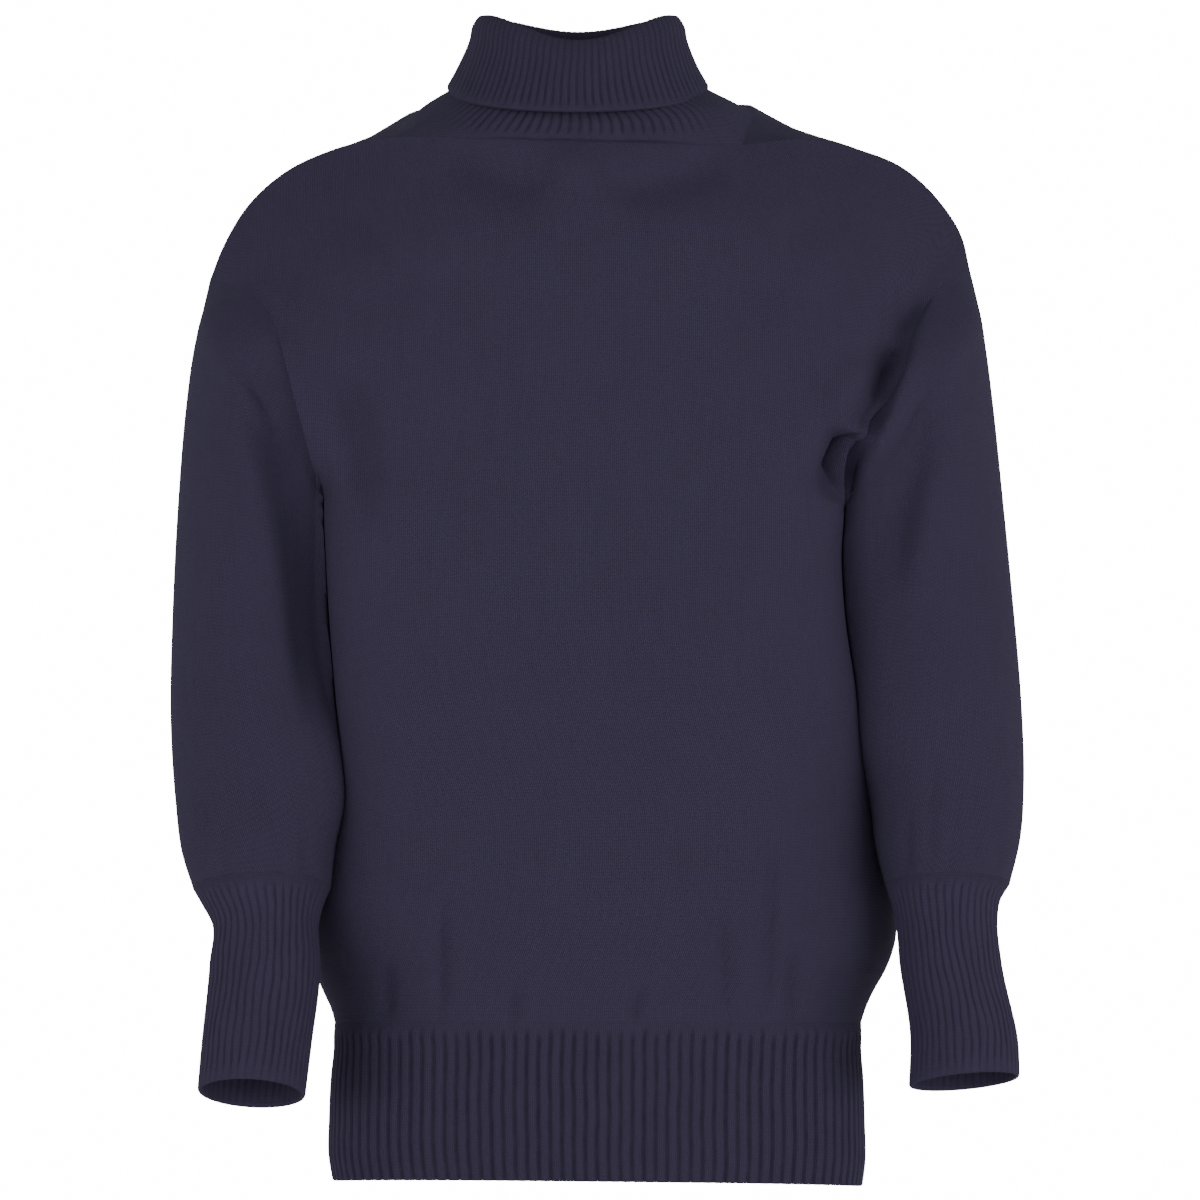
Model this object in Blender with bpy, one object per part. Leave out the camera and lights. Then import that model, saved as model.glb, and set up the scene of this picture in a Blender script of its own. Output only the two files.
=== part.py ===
"""A roll-neck sweater in heavy knitted wool, holding the hollow shape of a wearer who isn't there.

Sizes are millimetres and become metres when a mesh is made. The origin is the middle of the neck
between the shoulders, where the wearer holds the garment up. +Z is up and the front faces -Y.
Right and left are the wearer's own, so the right sleeve is on the -X side.
"""

import math

import bpy
import numpy as np

KNIT = 3.0
SEAM_GAP = 0.25
RIB_RISE = 1.2
HEM_LIFT = 7.0
SLANT = np.array((0.37, 0.81, 0.45))

ACROSS = 24
BELOW_ARM = 10
BESIDE_ARM = 12
NECK_CORNER = 7
SLEEVE_RINGS = 15

HEM_RIBS = 132
CUFF_RIBS = 42
COLLAR_RIBS = 92

PLAIN_KNIT = (0.032, 0.029, 0.054)
RIB_KNIT = (0.028, 0.025, 0.048)


# Curves, rows and points

def smooth_through(steps, rows, at):
    """Values at the places asked for, on a smooth line through the rows of a table."""
    steps = np.asarray(steps, float)
    rows = np.asarray(rows, float)
    at = np.atleast_1d(np.asarray(at, float))
    gaps = np.diff(steps)
    shape = (-1,) + (1,) * (rows.ndim - 1)
    slopes = np.diff(rows, axis=0) / gaps.reshape(shape)
    before = gaps[:-1].reshape(shape)
    after = gaps[1:].reshape(shape)
    inner = (slopes[:-1] * after + slopes[1:] * before) / (before + after)
    tangents = np.concatenate([slopes[:1], inner, slopes[-1:]])
    k = np.clip(np.searchsorted(steps, at, side="right") - 1, 0, len(gaps) - 1)
    width = gaps[k].reshape(shape)
    t = ((at - steps[k]) / gaps[k]).reshape(shape)
    start = rows[k] * (2 * t**3 - 3 * t**2 + 1) + tangents[k] * width * (t**3 - 2 * t**2 + t)
    end = rows[k + 1] * (3 * t**2 - 2 * t**3) + tangents[k + 1] * width * (t**3 - t**2)
    return start + end


def along(points):
    """How far along a line each of its points lies, from 0 to 1."""
    steps = np.linalg.norm(np.diff(points, axis=0), axis=1)
    total = np.concatenate([[0.0], np.cumsum(steps)])
    return total / total[-1]


def evenly(points, count):
    """The same line with points at even steps along it."""
    at = along(points)
    wanted = np.linspace(0, 1, count)
    return np.stack([np.interp(wanted, at, points[:, axis]) for axis in range(3)], axis=1)


def curve(points, count):
    """A smooth line through the points, cut at even steps."""
    points = np.asarray(points, float)
    return evenly(smooth_through(along(points), points, np.linspace(0, 1, 400)), count)


def unit(vectors):
    return vectors / np.maximum(np.linalg.norm(vectors, axis=-1, keepdims=True), 1e-9)


def facing(grid, closed):
    """The direction square to a grid of points at each of them."""
    if closed:
        across = np.roll(grid, -1, axis=1) - np.roll(grid, 1, axis=1)
    else:
        across = np.gradient(grid, axis=1)
    return unit(np.cross(across, np.gradient(grid, axis=0)))


# Where the sleeves meet the body: the front half of each armhole from the underarm to the shoulder

RIGHT_ARMHOLE_FRONT = [
    (-163.8, 0, -247),
    (-168.1, -38, -236),
    (-172.3, -60, -221),
    (-176.9, -72, -203.4),
    (-181.9, -76, -183),
    (-187.8, -73, -163.8),
    (-193.9, -66, -142.4),
    (-200.5, -55, -127.9),
    (-209.8, -42, -121.5),
    (-223.7, -22, -115.5),
    (-239.6, 5, -110.5),
]
LEFT_ARMHOLE_FRONT = [
    (172.3, 0, -253.5),
    (179.9, -38, -238.6),
    (187.4, -62, -222.3),
    (195.2, -74, -203.4),
    (202.2, -76, -187.5),
    (209.3, -74, -170.2),
    (213, -69, -155.3),
    (217.4, -61, -142.4),
    (224.6, -49, -128.5),
    (233.3, -36, -116.9),
    (244, -18, -108.2),
    (254.8, 5, -102.7),
]
RIGHT_ARMHOLE_BACK = [
    (-163.8, 0, -247),
    (-167, 36, -238),
    (-173, 62, -217),
    (-182, 76, -187),
    (-194, 74, -157),
    (-208, 60, -132),
    (-225, 34, -116),
    (-239.6, 5, -110.5),
]
LEFT_ARMHOLE_BACK = [
    (172.3, 0, -253.5),
    (176, 36, -243),
    (182, 62, -220),
    (192, 76, -188),
    (205, 74, -156),
    (220, 60, -128),
    (239, 34, -110),
    (254.8, 5, -102.7),
]


# The body below the arms: sections from the hem rib's top edge to the underarm

# height, right side, left side, front depth, back depth, squareness, depth of the right and left seams
BODY_SECTIONS = [
    (-593, -157.5, 183.5, -109, 108, 2.3, 0, 0),
    (-584, -160.5, 187, -116, 114, 2.4, 0, 0),
    (-573, -166, 192, -121, 118, 2.4, 0, 0),
    (-559, -170.5, 200, -123, 120, 2.4, 0, 0),
    (-540, -171, 206, -122, 120, 2.4, 0, 0),
    (-515, -167, 206, -120, 118, 2.4, 0, 0),
    (-480, -160, 199, -118, 116, 2.4, 0, 0),
    (-450, -157, 192, -117, 115, 2.4, -8, -3),
    (-415, -158.5, 187, -117, 114, 2.4, -24, -10),
    (-377, -161, 180, -117, 113, 2.4, -34, -22),
    (-335, -162.5, 172, -117, 113, 2.4, -34, -28),
    (-292, -163.4, 168, -118, 113, 2.4, -26, -22),
]

# The body beside the arms: share of the armhole, middle height, middle depth, flatness, turn at the ends
FRONT_CHEST = [
    (0.0, -258, -118, 2.5, 0.42),
    (0.2, -212, -117, 2.4, 0.55),
    (0.42, -163, -113, 2.3, 0.8),
    (0.64, -113, -105, 2.2, 1.0),
    (0.84, -64, -92, 2.2, 1.0),
]
BACK_CHEST = [
    (0.0, -256, 114, 2.5, 0.42),
    (0.2, -205, 117, 2.4, 0.55),
    (0.42, -148, 118, 2.3, 0.8),
    (0.62, -96, 112, 2.2, 1.0),
    (0.78, -50, 102, 2.2, 1.0),
]

# The shoulder seam, from the top of the armhole to the corner of the neck
RIGHT_SHOULDER_SEAM = [
    (-239.6, 5, -110.5),
    (-231.5, 3, -90),
    (-213, 1, -60),
    (-189, -2, -39.5),
    (-160, -8, -26.5),
    (-139, -20, -21.5),
    (-118, -40, -20.2),
]
LEFT_SHOULDER_SEAM = [
    (254.8, 5, -102.7),
    (250, 3, -83),
    (234, 1, -58),
    (211, -2, -37.5),
    (180, -8, -25.5),
    (146, -22, -20.5),
    (106, -40, -25.5),
]
FRONT_NECKLINE = [
    (-118, -40, -20.2),
    (-92, -54, -21),
    (-55, -66, -22.6),
    (-8, -71.5, -23.6),
    (42, -67, -24.8),
    (82, -54, -25.8),
    (106, -40, -25.5),
]

# The back over the shoulders. The ridge runs along the top of the shoulder to the side of the neck.
BACK_NECK_ROW = {
    "right": [(-223, 37, -117), (-215, 45, -90), (-196, 50, -62), (-160, 54, -42), (-106, 50, -3)],
    "neck": [(-106, 50, -3), (-86, 66, 4), (-50, 77, 9), (0, 81, 11), (50, 77, 10), (88, 66, 6), (109, 50, 0)],
    "left": [(109, 50, 0), (168, 54, -41), (212, 50, -60), (232, 44, -84), (237.5, 37, -111)],
}
SHOULDER_RIDGE = {
    "right": [(-231, 20, -113), (-225, 22, -83), (-208, 22, -55), (-180, 20, -35.5), (-143, 15, -19), (-112.5, 6, -4.5)],
    "left": [(115, 6, 1), (150, 15, -11.5), (188, 21, -27), (218, 22, -45.5), (242, 22, -76), (246.5, 20, -106.3)],
}


# Folds pressed into or raised from the cloth

# piece, side (-1 front), half width, depth outwards, points across and up
FOLDS = [
    ("right_sleeve", -1, 13, -9, [(-220, -165), (-205, -205), (-192, -250), (-180, -312), (-172, -372), (-163, -430)]),
    ("left_sleeve", -1, 15, -6, [(238, -190), (226, -235), (216, -290), (204, -345)]),
    ("left_sleeve", -1, 9, 4, [(204, -232), (192, -265), (184, -302), (186, -335)]),
    ("front_body", -1, 26, -4.5, [(-105, -42), (-62, -56), (-20, -60)]),
    ("front_body", -1, 24, -4.5, [(35, -62), (72, -55), (105, -42)]),
    ("front_body", -1, 20, 3.5, [(-140, -75), (-75, -88), (0, -95), (75, -88), (140, -72)]),
    ("front_body", -1, 14, 4, [(146, -172), (152, -196), (154, -222)]),
    ("back_body", 1, 22, -5, [(-110, -130), (-50, -148), (20, -150), (100, -132)]),
    ("back_body", 1, 20, -5, [(-120, -520), (-60, -500), (-20, -470)]),
]


def folded(name, grid, normals):
    """Pushes a piece's points in or out along its folds."""
    for piece, side, half_width, depth, path in FOLDS:
        if piece != name:
            continue
        line = curve([(x, 0, z) for x, z in path], 60)
        away = np.linalg.norm(grid[..., None, [0, 2]] - line[:, [0, 2]], axis=-1)
        nearest = away.argmin(axis=-1)
        ends = np.sin(math.pi * (0.08 + 0.84 * nearest / 59))
        facing_us = np.clip(side * normals[..., 1] * 2, 0, 1)
        near = np.clip(np.exp(-((away.min(axis=-1) / half_width) ** 2)) - 0.02, 0, 1)
        push = depth * ends * facing_us * near
        grid = grid + normals * push[..., None]
    return grid


# The front and back panels, as rows of points from the hem rib up

def section(ends, middle_height, middle_depth, flatness, turn):
    """One row across a panel, from its right edge to its left."""
    right, left = np.asarray(ends, float)
    way = np.sin(np.linspace(-math.pi / 2, math.pi / 2, 241))
    swell = (1 - np.abs(way) ** flatness) ** turn
    base = right + (left - right) * ((way + 1) / 2)[:, None]
    base[:, 1] += swell * (middle_depth - base[:, 1])
    base[:, 2] += swell * (middle_height - base[:, 2])
    return evenly(base, ACROSS + 1)


def split_row(parts, counts):
    """A row made of several curves, each with its own share of the panel's columns."""
    lines = [curve(points, count + 1) for points, count in zip(parts, counts)]
    return np.concatenate([line[:-1] for line in lines[:-1]] + [lines[-1]])


def body_rows(side, chest, armholes):
    """The rows that shape a panel below the shoulder, with each row's place from 0 to 2."""
    places = []
    rows = []
    for height, right, left, front, back, square, right_seam, left_seam in BODY_SECTIONS:
        depth = front if side < 0 else back
        ends = [(right, right_seam, height), (left, left_seam, height)]
        places.append((height + 593) / (593 - 250))
        middle = height + HEM_LIFT * max(0, 1 - (height + 593) / 60)
        rows.append(section(ends, middle, depth, square, 1 / square))
    for share, height, depth, flatness, turn in chest:
        ends = [smooth_through(along(hole), hole, share)[0] for hole in armholes]
        places.append(1 + share)
        rows.append(section(ends, height, depth, flatness, turn))
    return places, rows


def panel(name, side, chest, armholes, last_places, last_rows):
    """A panel's grid, pulled on to the armholes at its sides."""
    places, rows = body_rows(side, chest, armholes)
    places = places + last_places
    rows = rows + last_rows
    below = np.linspace(0, 1, BELOW_ARM + 1)
    beside = 1 + np.linspace(0, 1, BESIDE_ARM + 1)[1:]
    grid = smooth_through(places, rows, np.concatenate([below, beside]))
    fade = np.clip(1 - np.arange(ACROSS + 1) / 5, 0, 1) ** 2
    for column, weights, hole, end in ((0, fade, armholes[0], 1), (-1, fade[::-1], armholes[1], 2)):
        seam = [(row[end], row[end + 5], row[0]) for row in BODY_SECTIONS] + [hole[0]]
        lower = smooth_through(places[:len(seam) - 1] + [1.0], seam, below)
        edge = np.concatenate([lower, curve(hole, BESIDE_ARM + 1)[1:]])
        grid += (edge - grid[:, column])[:, None] * weights[None, :, None]
    return folded(name, grid, facing(grid, False) * -side)


neck_columns = ACROSS - 2 * NECK_CORNER
columns = (NECK_CORNER, neck_columns, NECK_CORNER)
front_top = split_row(
    [RIGHT_SHOULDER_SEAM, FRONT_NECKLINE, LEFT_SHOULDER_SEAM[::-1]], columns
)
back_neck = split_row(
    [BACK_NECK_ROW["right"], BACK_NECK_ROW["neck"], BACK_NECK_ROW["left"]], columns
)
ridge_middle = [(-112.5, 6, -4.5), (0, 60, 30), (115, 6, 1)]
ridge = split_row([SHOULDER_RIDGE["right"], ridge_middle, SHOULDER_RIDGE["left"]], columns)
right_edge = np.array(RIGHT_ARMHOLE_FRONT, float)
left_edge = np.array(LEFT_ARMHOLE_FRONT, float)
right_edge_behind = np.array(RIGHT_ARMHOLE_BACK, float)
left_edge_behind = np.array(LEFT_ARMHOLE_BACK, float)
front_grid = panel("front_body", -1, FRONT_CHEST, (right_edge, left_edge), [2.0], [front_top])
back_grid = panel(
    "back_body",
    1,
    BACK_CHEST,
    (right_edge_behind, left_edge_behind),
    [1 + 10 / 12, 1 + 11 / 12, 2.0],
    [back_neck, ridge, front_top],
)
front_grid[-1] = front_top
back_grid[-1] = front_top
NECK_ROW = BELOW_ARM + 10


# The sleeves: rings from the armhole to the cuff

# outer edge across and up, inner edge across and up, depth of the middle, half depth, tilt forward
RIGHT_SLEEVE = [
    (-244.6, -135, -165.3, -266.5, 4, 74, 0),
    (-249.5, -156.9, -164.2, -284.6, 10, 73, 0),
    (-254.6, -194.5, -163.2, -312, 18, 72, 0),
    (-259.3, -253.2, -162.6, -344.6, 20, 71, 0),
    (-262.6, -331.5, -161.6, -383.6, 10, 69, 4),
    (-262.7, -392.9, -161.5, -416.9, -12, 64, 8),
    (-258.2, -446.9, -153.5, -452, -62, 47, 13),
    (-252.9, -480.2, -151.9, -477, -74, 45, 15),
    (-245.3, -502.8, -157.3, -501.6, -84, 42, 16),
]
LEFT_SLEEVE = [
    (260.9, -131.1, 171.4, -271, 4, 74, 0),
    (265, -155.7, 169.3, -292.5, 8, 73, 0),
    (269.9, -194.6, 170.5, -318.5, 14, 72, 0),
    (275.2, -246.8, 174.1, -347.8, 15, 71, 0),
    (281, -312, 182.1, -382.3, 4, 69, 3),
    (286.1, -383.2, 187, -415.6, -34, 58, 6),
    (287, -437.5, 188.9, -450.3, -48, 55, 9),
    (283.5, -473.6, 191.2, -478.8, -62, 50, 11),
    (276.5, -500.1, 196.6, -500.1, -72, 45, 12),
]
RIGHT_CUFF = [
    (-245.3, -502.8, -157.3, -501.6, -84, 42, 16),
    (-238.7, -512.9, -162.2, -512.2, -88, 38, 16),
    (-232.7, -523.5, -164.9, -522.9, -92, 34, 17),
    (-233.5, -550.4, -163.6, -550.4, -101, 32, 17),
    (-237.6, -600.2, -168.6, -600.2, -118, 34, 18),
    (-239.7, -627.6, -172.1, -630.6, -125, 36, 19),
]
LEFT_CUFF = [
    (276.5, -500.1, 196.6, -500.1, -72, 45, 12),
    (270, -510.2, 200.3, -510.2, -75, 39, 12),
    (267.9, -522.9, 203.4, -524.2, -78, 34, 12),
    (270, -549.4, 205.6, -549.4, -85, 32, 12),
    (280, -601.4, 212, -601.4, -99, 34, 12),
    (280.4, -620.2, 210.8, -626, -104, 35.5, 13),
]


def ring(row, count):
    """A ring of a sleeve or cuff, from its outer edge round the front to its inner edge and back."""
    outer_x, outer_z, inner_x, inner_z, depth, half_depth, tilt = row
    outer = np.array((outer_x, depth, outer_z))
    inner = np.array((inner_x, depth, inner_z))
    lean = math.radians(tilt)
    front = np.array((0, -math.cos(lean), math.sin(lean))) * half_depth
    angles = np.linspace(0, 2 * math.pi, count, endpoint=False)[:, None]
    return (outer + inner) / 2 + np.cos(angles) * (outer - inner) / 2 + np.sin(angles) * front


def tube(table, first, count, rings):
    """Rings through a table, the first of them given point by point."""
    rows = [first] + [ring(row, count) for row in table]
    steps = np.array([np.linalg.norm(b - a, axis=1).mean() for a, b in zip(rows, rows[1:])])
    places = np.concatenate([[0.0], np.cumsum(steps)])
    return smooth_through(places, rows, np.linspace(0, places[-1], rings))


def armhole_ring(front_column, back_column):
    """The sleeve's first ring: down the front edge of the armhole and up the back one."""
    return np.concatenate([front_column[::-1], back_column[1:-1]])


ARM_POINTS = 2 * BESIDE_ARM
right_hole = armhole_ring(front_grid[BELOW_ARM:, 0], back_grid[BELOW_ARM:, 0])
left_hole = armhole_ring(front_grid[BELOW_ARM:, -1], back_grid[BELOW_ARM:, -1])
right_grid = tube(RIGHT_SLEEVE, right_hole, ARM_POINTS, SLEEVE_RINGS)
left_grid = tube(LEFT_SLEEVE, left_hole, ARM_POINTS, SLEEVE_RINGS)
right_grid = folded("right_sleeve", right_grid, -facing(right_grid, True))
left_grid = folded("left_sleeve", left_grid, facing(left_grid, True))


# Seams: neighbours share their edge points, face one way there and stand a little apart

outward = {
    "front_body": facing(front_grid, False),
    "back_body": -facing(back_grid, False),
    "right_sleeve": -facing(right_grid, True),
    "left_sleeve": facing(left_grid, True),
}
grids = {
    "front_body": front_grid,
    "back_body": back_grid,
    "right_sleeve": right_grid,
    "left_sleeve": left_grid,
}
shared = {}
for name, grid in grids.items():
    for row in range(grid.shape[0]):
        for column in range(grid.shape[1]):
            if name == "back_body" and row > NECK_ROW and NECK_CORNER < column < ACROSS - NECK_CORNER:
                continue
            key = tuple(np.round(grid[row, column], 4))
            shared.setdefault(key, []).append((name, row, column))


def inside(name, row, column):
    """The middle of the points round one point of a piece's edge."""
    grid = grids[name]
    rows = [r for r in (row - 1, row, row + 1) if 0 <= r < len(grid)]
    around = range(column - 1, column + 2)
    if name.endswith("body"):
        around = [c for c in around if 0 <= c < grid.shape[1]]
    return np.mean([grid[r, c % grid.shape[1]] for r in rows for c in around], axis=0)


moved = {}
for key, places in shared.items():
    if len({name for name, _, _ in places}) < 2:
        continue
    mean = sum(outward[name][row, column] for name, row, column in places)
    if len(places) > 2 and key[2] < -200:
        mean = mean + np.array((0, 0, -2.0))
    mean = unit(mean)
    for name, row, column in places:
        outward[name][row, column] = mean
        inwards = inside(name, row, column) - np.array(key)
        inwards = unit(inwards - mean * (mean @ inwards))
        moved[name, row, column] = np.array(key) + SEAM_GAP * inwards
for (name, row, column), point in moved.items():
    grids[name][row, column] = point

neckline = np.concatenate([
    front_top[NECK_CORNER:ACROSS - NECK_CORNER + 1],
    back_grid[-2:NECK_ROW - 1:-1, ACROSS - NECK_CORNER],
    back_grid[NECK_ROW, ACROSS - NECK_CORNER - 1:NECK_CORNER - 1:-1],
    back_grid[NECK_ROW + 1:-1, NECK_CORNER],
])
neck_facing = np.concatenate([
    outward["front_body"][-1, NECK_CORNER:ACROSS - NECK_CORNER + 1],
    outward["back_body"][-2:NECK_ROW - 1:-1, ACROSS - NECK_CORNER],
    outward["back_body"][NECK_ROW, ACROSS - NECK_CORNER - 1:NECK_CORNER - 1:-1],
    outward["back_body"][NECK_ROW + 1:-1, NECK_CORNER],
])


# Ribbed pieces start on their neighbour's edge and rise into ribs from there

def spread(points, values, count, closed):
    """Values carried along an edge to as many even steps as a ribbed piece has points."""
    if closed:
        points = np.concatenate([points, points[:1]])
        values = np.concatenate([values, values[:1]])
    at = along(points)
    wanted = np.linspace(0, 1, count, endpoint=not closed)
    return np.stack([np.interp(wanted, at, values[:, axis]) for axis in range(3)], axis=1)


def ribbed(count):
    """How far each point of a row stands out: every other one is the top of a rib."""
    return (np.arange(count) % 2)[:, None] * RIB_RISE


# Meshes

def strip(low, high, closed):
    """Triangles between two runs of points, where one may have twice the points of the other."""
    faces = []
    if len(low) < len(high):
        return [face[::-1] for face in strip(high, low, closed)]
    each = 1 if len(low) == len(high) else 2
    pairs = len(high) if closed else len(high) - 1
    for i in range(pairs):
        a, b = high[i], high[(i + 1) % len(high)]
        p, q = low[i * each], low[((i + 1) * each) % len(low)]
        if each == 1:
            faces += [(p, q, b), (p, b, a)]
            continue
        middle = low[i * each + 1]
        faces += [(p, middle, a), (middle, b, a), (middle, q, b)]
    return faces


def add_object(name, points, faces, colour, turned):
    mesh = bpy.data.meshes.new(name)
    if turned:
        faces = [face[::-1] for face in faces]
    mesh.from_pydata([tuple(point / 1000) for point in points], [], faces)
    mesh.validate()
    thing = bpy.data.objects.new(name, mesh)
    garment.objects.link(thing)
    material = bpy.data.materials.new(name + "_wool")
    material.use_nodes = True
    shader = material.node_tree.nodes["Principled BSDF"]
    shader.inputs["Base Color"].default_value = (*colour, 1)
    shader.inputs["Roughness"].default_value = 0.92
    shader.inputs["Sheen Weight"].default_value = 0.25
    mesh.materials.append(material)
    mesh.shade_smooth()
    mesh.set_sharp_from_angle(angle=math.radians(50))


def plain_piece(name, closed, turned, keep=None):
    """A wall one knit thick on a grid, with a rim wherever a kept cell has no neighbour."""
    outer = grids[name]
    inner = outer - outward[name] * KNIT
    rows, width = outer.shape[:2]
    cells_across = width if closed else width - 1
    number = np.arange(rows * width).reshape(rows, width)
    flat = outer.reshape(-1, 3)
    used = set()
    for row in range(rows - 1):
        for column in range(cells_across):
            if keep is None or keep(row, column):
                used.add((row, column))
    faces = []
    total = rows * width
    for row, column in sorted(used):
        beside = (column + 1) % width
        a, b = number[row, column], number[row, beside]
        c, d = number[row + 1, beside], number[row + 1, column]
        faces += [(a, b, c), (a, c, d)]
        faces += [(a + total, c + total, b + total), (a + total, d + total, c + total)]
        left = (column - 1) % width if closed else column - 1
        right = beside if closed else column + 1
        edges = {(row - 1, column): (b, a), (row + 1, column): (d, c)}
        edges[(row, right)] = (c, b)
        edges[(row, left)] = (a, d)
        for neighbour, (start, end) in edges.items():
            if neighbour in used:
                continue
            if flat[start] @ SLANT < flat[end] @ SLANT:
                faces += [(start, end, end + total), (start, end + total, start + total)]
            else:
                faces += [(start, end, start + total), (end, end + total, start + total)]
    everything = np.concatenate([flat, inner.reshape(-1, 3)])
    kept = sorted({point for face in faces for point in face})
    renumbered = {point: i for i, point in enumerate(kept)}
    faces = [tuple(renumbered[point] for point in face) for face in faces]
    add_object(name, everything[kept], faces, PLAIN_KNIT, turned)


def ribbed_piece(name, outer_rows, inner_rows, closed, turned):
    """A wall between two sets of rows, whose inner rows may have half the points."""
    points = np.concatenate(outer_rows + inner_rows)
    starts = np.cumsum([0] + [len(row) for row in outer_rows + inner_rows])
    runs = [list(range(start, end)) for start, end in zip(starts, starts[1:])]
    outer = runs[:len(outer_rows)]
    inner = runs[len(outer_rows):]
    faces = []
    for low, high in zip(outer, outer[1:]):
        faces += strip(low, high, closed)
    for low, high in zip(inner, inner[1:]):
        faces += [face[::-1] for face in strip(low, high, closed)]
    faces += strip(inner[0], outer[0], closed)
    faces += strip(outer[-1], inner[-1], closed)
    if not closed:
        for at, way in ((0, 1), (-1, -1)):
            for k in range(len(outer) - 1):
                a, b = outer[k][at], outer[k + 1][at]
                c, d = inner[k][at], inner[k + 1][at]
                faces += [face[::way] for face in ((a, b, d), (a, d, c))]
    add_object(name, points, faces, RIB_KNIT, turned)


for thing in list(bpy.data.objects):
    bpy.data.objects.remove(thing)
garment = bpy.data.collections.new("military_sweater")
bpy.context.scene.collection.children.link(garment)


def below_neck(row, column):
    return row < NECK_ROW or not NECK_CORNER <= column < ACROSS - NECK_CORNER


plain_piece("front_body", False, False)
plain_piece("back_body", False, True, below_neck)
plain_piece("right_sleeve", True, True)
plain_piece("left_sleeve", True, False)


# The hem rib, knitted in a front and a back half that are seamed at the sides

# right side, left side, front depth, back depth, height at right and at left, rise in the middle
HEM_SECTIONS = [
    (-157.5, 183.5, -109, 108, -598, -598, 7),
    (-162, 185.5, -107, 106, -693.5, -697, 8.5),
]


def hem_piece(name, side):
    edge = grids[name.replace("hem_rib", "body")][0]
    edge_facing = outward[name.replace("hem_rib", "body")][0]
    count = HEM_RIBS + 1
    first = spread(edge, edge, count, False)
    first_facing = spread(edge, edge_facing, count, False)
    outer = [first]
    inner = [(first - first_facing * KNIT)[::2]]
    for right, left, front, back, right_height, left_height, rise in HEM_SECTIONS:
        gap = SEAM_GAP * side
        depth = front if side < 0 else back
        way = np.sin(np.linspace(-math.pi / 2, math.pi / 2, 961))
        swell = (1 - np.abs(way) ** 2.3) ** (1 / 2.3)
        height = right_height + (left_height - right_height) * (way + 1) / 2 + rise * swell
        x = right + (left - right) * (way + 1) / 2
        line = evenly(np.stack([x, gap + swell * depth, height], axis=1), count)
        out = unit(np.cross(np.gradient(line, axis=0), (0, 0, 1.0))) * -side
        out[0] = (-1, 0, 0)
        out[-1] = (1, 0, 0)
        outer.append(line + out * ribbed(count))
        inner.append((line - out * KNIT)[::2])
    outer[0] = first + unit(outer[1] - first) * 2 * SEAM_GAP
    inner[0] = inner[0] + unit(inner[1] - inner[0]) * 2 * SEAM_GAP
    ribbed_piece(name, outer, inner, False, side < 0)


hem_piece("front_hem_rib", -1)
hem_piece("back_hem_rib", 1)


# The cuffs, knitted on to the ends of the sleeves

def cuff_piece(name, table, turned):
    sleeve = name.replace("cuff", "sleeve")
    edge = grids[sleeve][-1]
    count = 2 * CUFF_RIBS
    first = spread(edge, edge, count, True)
    first_facing = spread(edge, outward[sleeve][-1], count, True)
    rows = [first] + [ring(row, count) for row in table[1:]]
    shape = np.array(rows)
    out = facing(shape, True) * (-1 if turned else 1)
    outer = [first]
    inner = [(first - first_facing * KNIT)[::2]]
    for row in range(1, len(rows)):
        outer.append(shape[row] + out[row] * (ribbed(count) - RIB_RISE / 2))
        inner.append((shape[row] - out[row] * KNIT)[::2])
    outer[0] = first + unit(outer[1] - first) * 2 * SEAM_GAP
    inner[0] = inner[0] + unit(inner[1] - inner[0]) * 2 * SEAM_GAP
    ribbed_piece(name, outer, inner, True, turned)


cuff_piece("right_cuff", RIGHT_CUFF, True)
cuff_piece("left_cuff", LEFT_CUFF, False)


# The roll collar: one ribbed tube that stands up from the neckline and turns over on itself

# right side, left side, front depth, back depth, height at the sides, front and back, rise between
COLLAR_RINGS = [
    (-97, 102, -74, 77, 4.5, -14, 15, 0),
    (-77, 78, -67, 70, 16, -2, 25, 0),
    (-60, 60, -56, 57, 50, 28, 46, 2),
    (-63.5, 64, -60, 61, 59.5, 39, 54.5, 2),
    (-67.7, 68.3, -63.5, 65, 50, 28, 45, 2),
    (-74.3, 74.3, -71.5, 74, 32, 11, 32, 1),
    (-83, 83.7, -79, 82, 16.5, -5.5, 19, 0),
]


def collar_ring(row, angles):
    right, left, front, back, side_height, front_height, back_height, rise = row
    across = np.cos(angles)
    forward = np.sin(angles)
    dip = np.abs(forward) ** 1.4
    x = (right + left) / 2 - across * (left - right) / 2
    y = np.where(forward > 0, front * forward, -back * forward)
    end = np.where(forward > 0, front_height, back_height)
    height = side_height + (end - side_height) * dip
    height += np.where(forward < 0, rise * np.sin(2 * np.arcsin(forward)) ** 2, 0)
    return np.stack([x, y, height], axis=1)


def collar_piece():
    count = 2 * COLLAR_RIBS
    first = spread(neckline, neckline, count, True)
    first_facing = spread(neckline, neck_facing, count, True)
    centre = np.array((0.0, 0.0))
    offset = first[:, :2] - centre
    angles = np.arctan2(-offset[:, 1] / 72, -offset[:, 0] / 112)
    angles = np.unwrap(angles)
    rings = [collar_ring(row, angles) for row in COLLAR_RINGS]
    middle = np.array([first - first_facing * KNIT / 2] + rings)
    out = facing(middle, True)
    out[0] = first_facing
    rise = ribbed(count)
    neck_side = [middle[0] - out[0] * KNIT / 2]
    far_side = [middle[0] + out[0] * KNIT / 2]
    for row in range(1, len(middle)):
        neck_side.append(middle[row] - out[row] * (KNIT / 2 - 0.6 + rise))
        step = rise if row < 3 else 0
        far = middle[row] + out[row] * (KNIT / 2 - 0.3 + step)
        far_side.append(far if row < 3 else far[::2])
    lift = unit(middle[1] - middle[0]) * 2 * SEAM_GAP
    neck_side[0] = neck_side[0] + lift
    far_side[0] = far_side[0] + lift
    ribbed_piece("roll_collar", far_side, neck_side, True, False)


collar_piece()
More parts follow.
